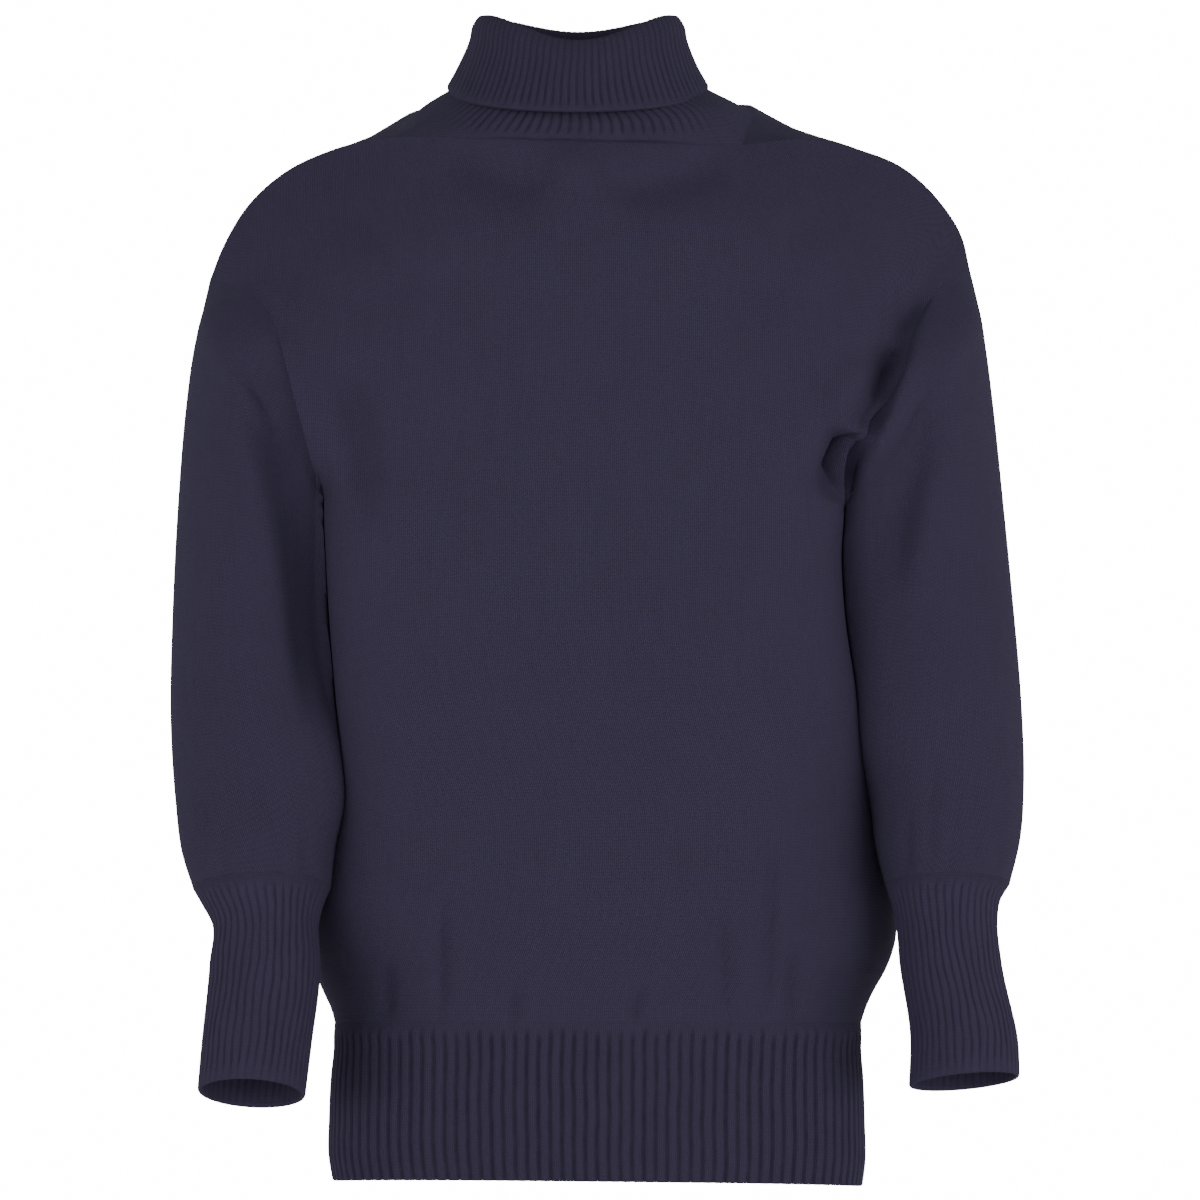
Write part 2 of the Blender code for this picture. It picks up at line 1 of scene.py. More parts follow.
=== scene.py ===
"""A roll-neck sweater in heavy navy wool, filled out as if worn, with nobody in it.

Tables are in millimetres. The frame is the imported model's: the middle of the neck at the origin,
+Z up, the front facing -Y, and the wearer's right on the -X side.
"""

import math

import bpy
import numpy as np
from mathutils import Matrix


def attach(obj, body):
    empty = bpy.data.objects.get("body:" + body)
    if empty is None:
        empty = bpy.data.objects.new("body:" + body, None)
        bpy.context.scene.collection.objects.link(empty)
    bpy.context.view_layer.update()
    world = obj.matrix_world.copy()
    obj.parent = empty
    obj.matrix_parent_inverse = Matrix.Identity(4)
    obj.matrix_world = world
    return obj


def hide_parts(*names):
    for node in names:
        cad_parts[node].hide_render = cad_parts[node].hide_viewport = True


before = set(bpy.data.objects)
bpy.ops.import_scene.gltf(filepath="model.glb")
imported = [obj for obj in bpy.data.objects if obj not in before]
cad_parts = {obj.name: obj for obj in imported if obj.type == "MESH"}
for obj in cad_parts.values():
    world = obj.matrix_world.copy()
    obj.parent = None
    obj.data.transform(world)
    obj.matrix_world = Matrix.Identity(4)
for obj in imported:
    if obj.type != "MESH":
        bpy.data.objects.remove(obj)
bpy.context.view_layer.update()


# The body: a front and a back panel in stocking stitch, knitted to shape and linked at the sides
# and shoulders. The back comes forward over the shoulders, so the shoulder seams lie at the front.

# how finely the panels are drawn: points across, up to the underarm and beside the arm, in from the
# armhole to the corner of the neck, up to the neck's row, and in from a side that its seam pulls on
FINE = 6
ACROSS = 24 * FINE
BELOW_ARM = 10 * FINE
BESIDE_ARM = 12 * FINE
NECK_CORNER = 7 * FINE
NECK_ROW = BELOW_ARM + 10 * FINE
SEAM_PULL = 5 * FINE
CURVE_STEPS = 1200
ROW_STEPS = 1441

WALL = 2.8
SEAM_GAP = 0.03
HEM_TOP = -593
UNDERARM = -250
# the middle of the hem stands higher than its sides, and this fades out above it
HEM_LIFT = 7.0
HEM_LIFT_FADE = 60

# the armholes, from the underarm over the front or the back to the shoulder
RIGHT_ARMHOLE_FRONT = [
    (-162.5, -60, -252), (-164.5, -76, -247), (-168, -88, -236), (-173.5, -94, -216),
    (-179, -95, -195), (-184.5, -92, -174), (-190, -84, -155), (-197, -71, -137),
    (-209.8, -49, -122), (-223.7, -24, -115.5), (-239.6, 5, -110.5),
]
LEFT_ARMHOLE_FRONT = [
    (171, -50, -264), (170.5, -64, -261), (171.5, -76, -250), (176, -84, -234), (183, -88, -218),
    (192, -88, -202), (201, -85, -187.5), (209.3, -80, -170.2), (213, -74, -155.3),
    (217.4, -65, -142.4), (224.6, -52, -128.5), (233.3, -38, -116.9), (244, -19, -108.2),
    (254.8, 5, -102.7),
]
RIGHT_ARMHOLE_BACK = [
    (-162.5, -60, -252), (-164.5, -10, -250), (-168.5, 36, -238), (-174, 64, -217), (-182, 76, -187),
    (-194, 74, -157), (-208, 60, -132), (-225, 34, -116), (-239.6, 5, -110.5),
]
LEFT_ARMHOLE_BACK = [
    (171, -50, -264), (173.5, -6, -260), (176.5, 36, -250), (182, 64, -224), (192, 76, -189),
    (205, 74, -156), (220, 60, -128), (239, 34, -110), (254.8, 5, -102.7),
]

# height, right side, left side, front depth, back depth, squareness of the front at the right and at
# the left, depth of the right and left seams
BODY_SECTIONS = [
    (-593, -157.5, 183.5, -115, 111, 3.3, 3.3, 0, 0),
    (-584, -160, 186.5, -116.5, 113, 3.0, 3.0, 0, 0),
    (-573, -165, 191.5, -118.5, 115.5, 2.7, 2.7, -4, 0),
    (-559, -170, 199.5, -120, 118, 2.5, 2.5, -12, 0),
    (-540, -171.5, 206, -120.5, 119, 2.6, 2.5, -24, 0),
    (-515, -168.5, 206, -119.5, 118, 2.8, 2.5, -40, 0),
    (-480, -158.5, 199, -118, 116, 3.0, 2.5, -54, -4),
    (-450, -151.5, 192, -117, 115, 3.4, 2.7, -58, -14),
    (-415, -152.4, 187, -117, 114, 3.8, 3.0, -56, -28),
    (-377, -155.4, 180, -117, 113, 4.0, 3.4, -56, -42),
    (-335, -158.8, 172.3, -117, 113, 4.0, 3.8, -56, -48),
    (-292, -161.2, 169.3, -118, 113, 3.9, 3.8, -58, -48),
]
BACK_SQUARENESS = 2.4

# beside the arms: share of the armhole, middle height, middle depth, flatness and turn at the right,
# flatness and turn at the left
FRONT_CHEST = [
    (0.0, -261, -118, 3.6, 0.28, 3.6, 0.28), (0.2, -226, -117.5, 3.0, 0.8, 3.0, 0.42),
    (0.42, -180, -114, 2.6, 1.0, 2.3, 0.8), (0.64, -124, -106, 2.2, 1.0, 2.2, 1.0),
    (0.84, -68, -92, 2.2, 1.0, 2.2, 1.0),
]
BACK_CHEST = [
    (0.0, -256, 114, 2.5, 0.42, 2.5, 0.42), (0.2, -205, 117, 2.4, 0.55, 2.4, 0.55),
    (0.42, -148, 118, 2.3, 0.8, 2.3, 0.8), (0.62, -96, 112, 2.2, 1.0, 2.2, 1.0),
    (0.78, -50, 102, 2.2, 1.0, 2.2, 1.0),
]
RIGHT_SHOULDER_SEAM = [
    (-239.6, 5, -110.5), (-231.5, 3, -90), (-213, 1, -60), (-189, -2, -39.5),
    (-160, -8, -26.5), (-139, -20, -21.5), (-118, -40, -20.2),
]
LEFT_SHOULDER_SEAM = [
    (254.8, 5, -102.7), (250, 3, -83), (234, 1, -58), (211, -2, -37.5),
    (180, -8, -25.5), (146, -22, -20.5), (106, -40, -25.5),
]
FRONT_NECKLINE = [
    (-118, -40, -20.2), (-92, -54, -21), (-55, -66, -22.6), (-8, -71.5, -23.6),
    (42, -67, -24.8), (82, -54, -25.8), (106, -40, -25.5),
]
BACK_NECK = [
    [(-223, 37, -117), (-215, 45, -90), (-196, 50, -62), (-160, 54, -42), (-106, 50, -8.5)],
    [
        (-106, 50, -8.5), (-86, 66, 2), (-50, 77, 9), (0, 81, 11), (50, 77, 10), (88, 66, 3.5),
        (109, 50, -5.5),
    ],
    [(109, 50, -5.5), (168, 54, -41), (212, 50, -60), (232, 44, -84), (237.5, 37, -111)],
]
SHOULDER_RIDGE = [
    [
        (-231, 20, -113), (-225, 22, -83), (-208, 22, -55), (-180, 20, -37), (-143, 15, -20.2),
        (-112.5, 6, -6.8),
    ],
    [(-112.5, 6, -6.8), (0, 60, 30), (115, 6, -1)],
    [
        (115, 6, -1), (150, 15, -14.3), (188, 21, -28.4), (218, 22, -45.5), (242, 22, -76),
        (246.5, 20, -106.3),
    ],
]


def smooth_through(steps, rows, at):
    """Values at the places asked for, on a smooth line through the rows of a table."""
    steps = np.asarray(steps, float)
    rows = np.asarray(rows, float)
    at = np.atleast_1d(np.asarray(at, float))
    gaps = np.diff(steps)
    shape = (-1,) + (1,) * (rows.ndim - 1)
    slopes = np.diff(rows, axis=0) / gaps.reshape(shape)
    before = gaps[:-1].reshape(shape)
    after = gaps[1:].reshape(shape)
    inner = (slopes[:-1] * after + slopes[1:] * before) / (before + after)
    tangents = np.concatenate([slopes[:1], inner, slopes[-1:]])
    k = np.clip(np.searchsorted(steps, at, side="right") - 1, 0, len(gaps) - 1)
    width = gaps[k].reshape(shape)
    t = ((at - steps[k]) / gaps[k]).reshape(shape)
    start = rows[k] * (2 * t**3 - 3 * t**2 + 1) + tangents[k] * width * (t**3 - 2 * t**2 + t)
    end = rows[k + 1] * (3 * t**2 - 2 * t**3) + tangents[k + 1] * width * (t**3 - t**2)
    return start + end


def along(points):
    """How far along a line each of its points lies, from 0 to 1."""
    steps = np.linalg.norm(np.diff(points, axis=0), axis=1)
    total = np.concatenate([[0.0], np.cumsum(steps)])
    return total / total[-1]


def evenly(points, count):
    """The same line with points at even steps along it."""
    at = along(points)
    wanted = np.linspace(0, 1, count)
    return np.stack([np.interp(wanted, at, points[:, axis]) for axis in range(3)], axis=1)


def curve(points, count):
    """A smooth line through the points, cut at even steps."""
    points = np.asarray(points, float)
    return evenly(smooth_through(along(points), points, np.linspace(0, 1, CURVE_STEPS)), count)


def unit(vectors):
    """The same directions, one unit long."""
    return vectors / np.maximum(np.linalg.norm(vectors, axis=-1, keepdims=True), 1e-9)


def facing(grid, closed):
    """The direction square to a grid of points at each of them."""
    if closed:
        across = np.roll(grid, -1, axis=1) - np.roll(grid, 1, axis=1)
    else:
        across = np.gradient(grid, axis=1)
    return unit(np.cross(across, np.gradient(grid, axis=0)))


def row_across(ends, middle_height, middle_depth, flatness, turn):
    """One row across a panel. Its flatness and its turn at the ends are given at the right and left."""
    right, left = np.asarray(ends, float)
    way = np.sin(np.linspace(-math.pi / 2, math.pi / 2, ROW_STEPS))
    swell = (1 - np.abs(way) ** np.interp(way, (-1, 1), flatness)) ** np.interp(way, (-1, 1), turn)
    base = right + (left - right) * ((way + 1) / 2)[:, None]
    base[:, 1] += swell * (middle_depth - base[:, 1])
    base[:, 2] += swell * (middle_height - base[:, 2])
    return evenly(base, ACROSS + 1)


def split_row(parts):
    """A row made of a shoulder, the neck and the other shoulder, each with its own columns."""
    counts = (NECK_CORNER, ACROSS - 2 * NECK_CORNER, NECK_CORNER)
    lines = [curve(points, count + 1) for points, count in zip(parts, counts)]
    return np.concatenate([line[:-1] for line in lines[:-1]] + [lines[-1]])


def panel(side, chest, armholes, last_places, last_rows):
    """A panel's grid of points from the hem rib up, pulled on to the armholes at its sides."""
    places = []
    rows = []
    for row in BODY_SECTIONS:
        height, right, left, front, back, square_right, square_left, right_seam, left_seam = row
        ends = [(right, right_seam, height), (left, left_seam, height)]
        square = np.array((square_right, square_left) if side < 0 else (BACK_SQUARENESS,) * 2)
        middle = height + HEM_LIFT * max(0, 1 - (height - HEM_TOP) / HEM_LIFT_FADE)
        places.append((height - HEM_TOP) / (UNDERARM - HEM_TOP))
        rows.append(row_across(ends, middle, front if side < 0 else back, square, 1 / square))
    for share, height, depth, flat_right, turn_right, flat_left, turn_left in chest:
        ends = [smooth_through(along(hole), hole, share)[0] for hole in armholes]
        places.append(1 + share)
        rows.append(row_across(ends, height, depth, (flat_right, flat_left), (turn_right, turn_left)))
    below = np.linspace(0, 1, BELOW_ARM + 1)
    beside = 1 + np.linspace(0, 1, BESIDE_ARM + 1)[1:]
    grid = smooth_through(places + last_places, rows + last_rows, np.concatenate([below, beside]))
    fade = np.clip(1 - np.arange(ACROSS + 1) / SEAM_PULL, 0, 1) ** 2
    right_line = [(right, seam, height) for height, right, *_, seam, _ in BODY_SECTIONS]
    left_line = [(left, seam, height) for height, _, left, *_, seam in BODY_SECTIONS]
    sides = ((0, fade, armholes[0], right_line), (-1, fade[::-1], armholes[1], left_line))
    for column, weights, hole, seam in sides:
        lower = smooth_through(places[:len(BODY_SECTIONS)] + [1.0], seam + [hole[0]], below)
        edge = np.concatenate([lower, curve(hole, BESIDE_ARM + 1)[1:]])
        grid += (edge - grid[:, column])[:, None] * weights[None, :, None]
    return grid


front_top = split_row([RIGHT_SHOULDER_SEAM, FRONT_NECKLINE, LEFT_SHOULDER_SEAM[::-1]])
front_holes = (np.array(RIGHT_ARMHOLE_FRONT, float), np.array(LEFT_ARMHOLE_FRONT, float))
back_holes = (np.array(RIGHT_ARMHOLE_BACK, float), np.array(LEFT_ARMHOLE_BACK, float))
# the back goes on over the back of the neck and the shoulders' ridge to the same top edge
grids = {
    "front_body": panel(-1, FRONT_CHEST, front_holes, [2.0], [front_top]),
    "back_body": panel(
        1,
        BACK_CHEST,
        back_holes,
        [1 + 10 / 12, 1 + 11 / 12, 2.0],
        [split_row(BACK_NECK), split_row(SHOULDER_RIDGE), front_top],
    ),
}
grids["front_body"][-1] = front_top
grids["back_body"][-1] = front_top


# The sleeves: two tapered tubes in the same stitch, linked to the dropped armholes and left full
# above the cuffs.

SLEEVE_RINGS = 140
ARM_POINTS = 2 * BESIDE_ARM

# outer edge across and up, inner edge across and up, depth of the middle, half depth, tilt forward,
# fullness of the inner front side (1 is round), and how far round to the front the underarm line lies.
# The inner edges reach past the body's side, and are pressed flat against it below.
RIGHT_SLEEVE = [
    (-244.6, -135, -150, -266.5, -5, 89, 0, 0.5, 22),
    (-249.5, -156.9, -148, -284.6, -4, 87, 0, 0.5, 19),
    (-254.6, -194.5, -147, -312, -4, 85, 0, 0.55, 16),
    (-259.3, -253.2, -146, -344.6, -6, 82, 2, 0.6, 12),
    (-262.6, -331.5, -143, -383.6, -16, 76, 5, 0.6, 9),
    (-262.7, -392.9, -140, -416.9, -34, 67, 9, 0.6, 6),
    (-258.2, -446.9, -144, -452, -58, 54, 13, 0.7, 3),
    (-252.9, -480.2, -154, -477, -76, 46, 15, 0.9, 1),
    (-245.3, -502.8, -157.3, -501.6, -84, 42, 16, 1, 0),
]
LEFT_SLEEVE = [
    (260.9, -131.1, 160, -277, -4, 86, 0, 0.5, 20),
    (265, -155.7, 157, -294, -3, 84, 0, 0.5, 17),
    (269.9, -194.6, 156, -318.5, -3, 82, 0, 0.55, 14),
    (275.2, -246.8, 158, -347.8, -6, 79, 0, 0.6, 11),
    (281, -312, 165, -382.3, -16, 74, 3, 0.6, 8),
    (286.1, -383.2, 175, -415.6, -33, 66, 6, 0.65, 5),
    (287, -437.5, 187, -450.3, -47, 57, 9, 0.8, 2),
    (283.5, -473.6, 191.4, -478.8, -62, 50, 11, 1, 1),
    (276.5, -500.1, 196.6, -500.1, -72, 45, 12, 1, 0),
]
SLEEVE_CLEARANCE = 0.7
# how far the body's side is followed to the front and back, in steps of 2 mm
BODY_REACH = 130


def ring(row, count):
    """A ring of a sleeve or cuff, from its outer edge round the front to its inner edge and back."""
    outer_x, outer_z, inner_x, inner_z, depth, half_depth, tilt, fullness, lead = row
    outer = np.array((outer_x, depth, outer_z))
    inner = np.array((inner_x, depth, inner_z))
    lean = math.radians(tilt)
    front = np.array((0, -math.cos(lean), math.sin(lean))) * half_depth
    angles = np.linspace(0, 2 * math.pi, count, endpoint=False)[:, None]
    angles = angles - math.radians(lead) * np.sin(angles / 2) ** 2
    across = np.cos(angles)
    forward = np.sin(angles)
    power = 1 - (1 - fullness) * np.clip(-across * 2, 0, 1) * (forward > 0)
    forward = np.sign(forward) * np.abs(forward) ** power
    return (outer + inner) / 2 + across * (outer - inner) / 2 + forward * front


def through(rings, count):
    """As many rings as asked for at even steps, on a smooth surface through those given."""
    steps = np.array([np.linalg.norm(b - a, axis=1).mean() for a, b in zip(rings, rings[1:])])
    places = np.concatenate([[0.0], np.cumsum(steps)])
    return smooth_through(places, rings, np.linspace(0, places[-1], count))


def tube(table, first, count, rings):
    """Rings through a table, after a first one given point by point."""
    return through([first] + [ring(row, count) for row in table], rings)


def beside_body(grid, column):
    """Presses a sleeve flat where it lies against the side of the body, just clear of it."""
    depths = np.linspace(-BODY_REACH, BODY_REACH, BODY_REACH + 1)
    order = slice(0, ACROSS // 2) if column == 0 else slice(-1, ACROSS // 2, -1)
    heights = grids["front_body"][:BELOW_ARM + 1, column, 2]
    sides = []
    for row in range(BELOW_ARM + 1):
        outline = np.concatenate([grids["front_body"][row, order][::-1], grids["back_body"][row, order]])
        sides.append(np.interp(depths, outline[:, 1], outline[:, 0]))
    place = np.interp(grid[..., 2], heights, np.arange(BELOW_ARM + 1))
    row = np.minimum(place.astype(int), BELOW_ARM - 1)
    at = (grid[..., 1] - depths[0]) / (depths[1] - depths[0])
    cell = np.clip(at.astype(int), 0, len(depths) - 2)
    sides = np.array(sides)
    up = place - row
    over = np.clip(at - cell, 0, 1)
    low = sides[row, cell] * (1 - over) + sides[row, cell + 1] * over
    high = sides[row + 1, cell] * (1 - over) + sides[row + 1, cell + 1] * over
    side = low * (1 - up) + high * up
    pressed = grid.copy()
    if column == 0:
        pressed[..., 0] = np.minimum(grid[..., 0], side - SLEEVE_CLEARANCE)
    else:
        pressed[..., 0] = np.maximum(grid[..., 0], side + SLEEVE_CLEARANCE)
    pressed[0] = grid[0]
    return pressed


for name, table, column in (("right_sleeve", RIGHT_SLEEVE, 0), ("left_sleeve", LEFT_SLEEVE, -1)):
    hole = np.concatenate([
        grids["front_body"][BELOW_ARM:, column][::-1],
        grids["back_body"][BELOW_ARM:, column][1:-1],
    ])
    grids[name] = beside_body(tube(table, hole, ARM_POINTS, SLEEVE_RINGS), column)


# Seams: two pieces share their edge points, so they are made to face one way there before the
# folds push them in or out, and are then drawn a little apart.

turned = {"front_body": 1, "back_body": -1, "right_sleeve": -1, "left_sleeve": 1}
outward = {name: facing(grid, name.endswith("sleeve")) * turned[name] for name, grid in grids.items()}


def edge_places(name):
    """Row and column of each point on a piece's edges."""
    rows, width = grids[name].shape[:2]
    places = {(row, column) for row in (0, rows - 1) for column in range(width)}
    if name.endswith("body"):
        places |= {(row, column) for row in range(rows) for column in (0, width - 1)}
    return sorted(places)


shared = {}
for name in grids:
    for row, column in edge_places(name):
        key = tuple(np.round(grids[name][row, column], 4))
        shared.setdefault(key, []).append((name, row, column))
shared = {key: places for key, places in shared.items() if len({name for name, _, _ in places}) > 1}
for places in shared.values():
    mean = unit(sum(outward[name][row, column] for name, row, column in places))
    for name, row, column in places:
        outward[name][row, column] = mean


# The folds: creases, hollows and bulges, each pushed in or out along its own path over the front or
# the back of a piece, and the short pleats where the cloth rises from the ribs.

# pieces, side (-1 is the front), how far the cloth is pushed out, reach to the left hand and to the
# right hand of the path, share of the path over which it fades in and out, and the path across and
# up, which goes down or to the wearer's left
FOLDS = [
    # the long crease down the wearer's right sleeve, and the hollow on the body beside it
    (("right_sleeve",), -1, -13, 24, 8, 0.17, 0.3, [
        (-219, -150), (-204, -200), (-195, -230), (-187, -258), (-178, -315), (-171, -370), (-164, -415),
    ]),
    (("right_sleeve",), -1, 3, 8, 16, 0.3, 0.3, [
        (-228, -165), (-216, -210), (-203, -255), (-193, -300), (-186, -350),
    ]),
    (("front_body",), -1, -9, 13, 9, 0.3, 0.4, [
        (-150, -158), (-145, -190), (-141, -220), (-138, -250), (-136, -285),
    ]),
    (("front_body", "right_sleeve"), -1, -2.5, 8, 8, 0.3, 0.3, [
        (-216, -116), (-203, -128), (-192, -142), (-186, -160),
    ]),
    # the crease that runs from the wearer's left shoulder drop to the underarm
    (("left_sleeve", "front_body"), -1, -12, 5, 15, 0.25, 0.15, [
        (228, -112), (220, -124), (212.5, -140), (209, -152), (202, -168), (196, -184), (188, -202),
        (180, -216),
    ]),
    (("front_body",), -1, -9, 6, 10, 0.35, 0.35, [(206, -150), (199, -167), (193, -182), (187, -197)]),
    (("left_sleeve",), -1, 5, 10, 6, 0.3, 0.3, [
        (219, -152), (210, -176), (202, -198), (193, -222), (184, -246),
    ]),
    # the body's bulge above the wearer's left underarm, and the pit between the body and the sleeve
    (("front_body",), -1, 6, 13, 13, 0.3, 0.2, [(186, -164), (177, -180), (168, -194), (158, -204)]),
    (("front_body", "left_sleeve"), -1, -22, 6, 14, 0.14, 0.45, [
        (178, -212), (174, -225), (170, -240), (167, -259),
    ]),
    # the trough that runs down the wearer's left sleeve
    (("left_sleeve",), -1, -9, 9, 24, 0.35, 0.35, [
        (233, -150), (228, -178), (223, -205), (217, -230), (210, -257), (202, -300), (198, -330),
    ]),
    (("left_sleeve",), -1, 3, 10, 10, 0.3, 0.3, [(243, -190), (236, -225), (226, -265), (218, -305)]),
    # hollows under the collar to each side of a slight rise, and the gentler one below
    (("front_body",), -1, -6.5, 12, 17, 0.3, 0.3, [
        (-92, -30), (-73, -35), (-54, -43), (-31, -52), (-14, -60),
    ]),
    (("front_body",), -1, -6.5, 12, 17, 0.3, 0.3, [
        (14, -62), (28, -56), (52, -49), (83, -40), (100, -34),
    ]),
    (("front_body",), -1, 2.5, 12, 12, 0.4, 0.4, [(-22, -38), (-2, -41), (18, -40)]),
    (("front_body",), -1, 3, 24, 24, 0.3, 0.3, [
        (-150, -82), (-75, -92), (0, -104), (75, -94), (146, -80),
    ]),
    (("front_body",), -1, -3, 12, 12, 0.3, 0.3, [(-150, -60), (-128, -84), (-112, -112), (-104, -140)]),
    (("front_body",), -1, -3, 14, 14, 0.3, 0.3, [(155, -62), (140, -88), (128, -118), (120, -150)]),
    # the back: hollows between the shoulder blades, drag lines to the underarms and a slack waist
    (("back_body",), 1, -4, 26, 30, 0.3, 0.3, [(-110, -62), (-50, -76), (20, -78), (100, -60)]),
    (("back_body",), 1, -6, 13, 9, 0.3, 0.4, [(-150, -150), (-142, -190), (-136, -235), (-134, -275)]),
    (("back_body",), 1, -6, 9, 13, 0.3, 0.4, [(156, -150), (150, -190), (146, -230), (144, -280)]),
    (("back_body",), 1, -5, 16, 14, 0.4, 0.4, [(-120, -420), (-70, -444), (-10, -452), (50, -440)]),
    (("back_body",), 1, -4, 14, 12, 0.4, 0.4, [(-30, -486), (40, -500), (110, -488), (160, -466)]),
    (("back_body",), 1, 5, 20, 20, 0.3, 0.3, [(-130, -478), (-70, -492), (-10, -486)]),
    (("right_sleeve",), 1, -8, 10, 20, 0.35, 0.3, [
        (-228, -170), (-214, -205), (-199, -240), (-186, -285),
    ]),
    (("right_sleeve",), 1, -6, 12, 8, 0.4, 0.4, [
        (-252, -300), (-232, -316), (-206, -322), (-184, -316),
    ]),
    (("left_sleeve",), 1, -8, 20, 10, 0.35, 0.3, [(243, -168), (230, -205), (214, -242), (200, -288)]),
    (("left_sleeve",), 1, -6, 8, 12, 0.4, 0.4, [(202, -322), (224, -334), (248, -332), (268, -318)]),
]

# short pleats that rise from the ribs: piece, side, depth and height of the bottom, then each one's
# place across, top and lean
PLEAT_REACH = 3.4
PLEATS = [
    ("front_body", -1, -3.6, -588, [
        (-86, -496, 0), (-40, -560, 2), (36, -560, 6), (95, -500, -2), (123, -458, 3), (137, -532, 1),
        (-120, -545, -2),
    ]),
    ("back_body", 1, -1.6, -588, [
        (-112, -520, 2), (-66, -548, -3), (-18, -505, 1), (44, -556, 4), (88, -490, -2), (140, -530, 2),
    ]),
    ("right_sleeve", -1, -1.3, -498, [
        (-236, -425, 3), (-222, -448, -2), (-205, -410, 2), (-189, -440, -3), (-172, -455, -2),
    ]),
    ("right_sleeve", 1, -1.3, -498, [
        (-238, -430, 3), (-216, -445, 0), (-196, -420, -2), (-176, -450, -3),
    ]),
    ("left_sleeve", -1, -1.3, -496, [
        (208, -446, 3), (224, -405, 2), (238, -438, 0), (254, -415, -3), (268, -445, -4),
    ]),
    ("left_sleeve", 1, -1.3, -496, [(210, -440, 3), (231, -420, 1), (250, -448, -2), (268, -430, -4)]),
]
for name, side, depth, bottom, lines in PLEATS:
    for x, top, lean in lines:
        path = [(x + lean, top), (x + 0.3 * lean, (top + bottom) / 2), (x, bottom)]
        FOLDS.append(((name,), side, depth, PLEAT_REACH, PLEAT_REACH, 0.4, 0.25, path))

FOLD_STEPS = 80


def eased(share):
    """A share from 0 to 1 that starts and ends softly."""
    return share * share * (3 - 2 * share)


def near(at, place, reach):
    """1 at a place, and less the further away, over the reach given."""
    return np.exp(-(((at - place) / reach) ** 2))


def fold(name):
    """Pushes a piece's points in or out along its folds."""
    grid = grids[name]
    normals = outward[name]
    for pieces, side, depth, left_reach, right_reach, fade_in, fade_out, path in FOLDS:
        if name not in pieces:
            continue
        line = curve([(x, 0, z) for x, z in path], FOLD_STEPS)[:, [0, 2]]
        ahead = unit(np.gradient(line, axis=0))
        left_hand = np.stack([-ahead[:, 1], ahead[:, 0]], axis=1)
        offset = grid[..., None, [0, 2]] - line
        nearest = np.linalg.norm(offset, axis=-1).argmin(axis=-1)
        gap = np.take_along_axis(offset, nearest[..., None, None], axis=-2)[..., 0, :]
        away = np.linalg.norm(gap, axis=-1)
        reach = np.where((gap * left_hand[nearest]).sum(axis=-1) > 0, left_reach, right_reach)
        at = nearest / (len(line) - 1)
        ends = eased(np.clip(at / fade_in, 0, 1) * np.clip((1 - at) / fade_out, 0, 1))
        seen = np.clip(side * normals[..., 1] * 2, 0, 1)
        grid = grid + normals * (depth * ends * seen * near(away, 0, reach))[..., None]
    grids[name] = grid


for name in grids:
    fold(name)


def inside(name, row, column):
    """The middle of the points round one point of a piece's edge."""
    grid = grids[name]
    rows = [r for r in (row - 1, row, row + 1) if 0 <= r < len(grid)]
    around = range(column - 1, column + 2)
    if name.endswith("body"):
        around = [c for c in around if 0 <= c < grid.shape[1]]
    return np.mean([grid[r, c % grid.shape[1]] for r in rows for c in around], axis=0)


moved = {}
for places in shared.values():
    for name, row, column in places:
        mean = outward[name][row, column]
        inwards = inside(name, row, column) - grids[name][row, column]
        inwards = unit(inwards - mean * (mean @ inwards))
        moved[name, row, column] = grids[name][row, column] + SEAM_GAP * inwards
for (name, row, column), point in moved.items():
    grids[name][row, column] = point
for name, grid in grids.items():
    fresh = facing(grid, name.endswith("sleeve")) * turned[name]
    for row, column in {(r, c) for places in shared.values() for n, r, c in places if n == name}:
        fresh[row, column] = outward[name][row, column]
    outward[name] = fresh


# The wool of the plain pieces: stocking stitch in navy yarn, about 2.6 mm to a stitch across and
# 2 mm to a course. Each stitch is a pair of legs that lean apart, and the yarn has a soft halo.

WALE = 2.6
COURSE = 2.05
NAVY = (0.0345, 0.0285, 0.0545)
# the yarn's tone between and on the stitches, as shares of its colour, and its height in metres
YARN_SHADOW = 0.34
YARN_LIGHT = 1.32
YARN_HEIGHT = 0.0006


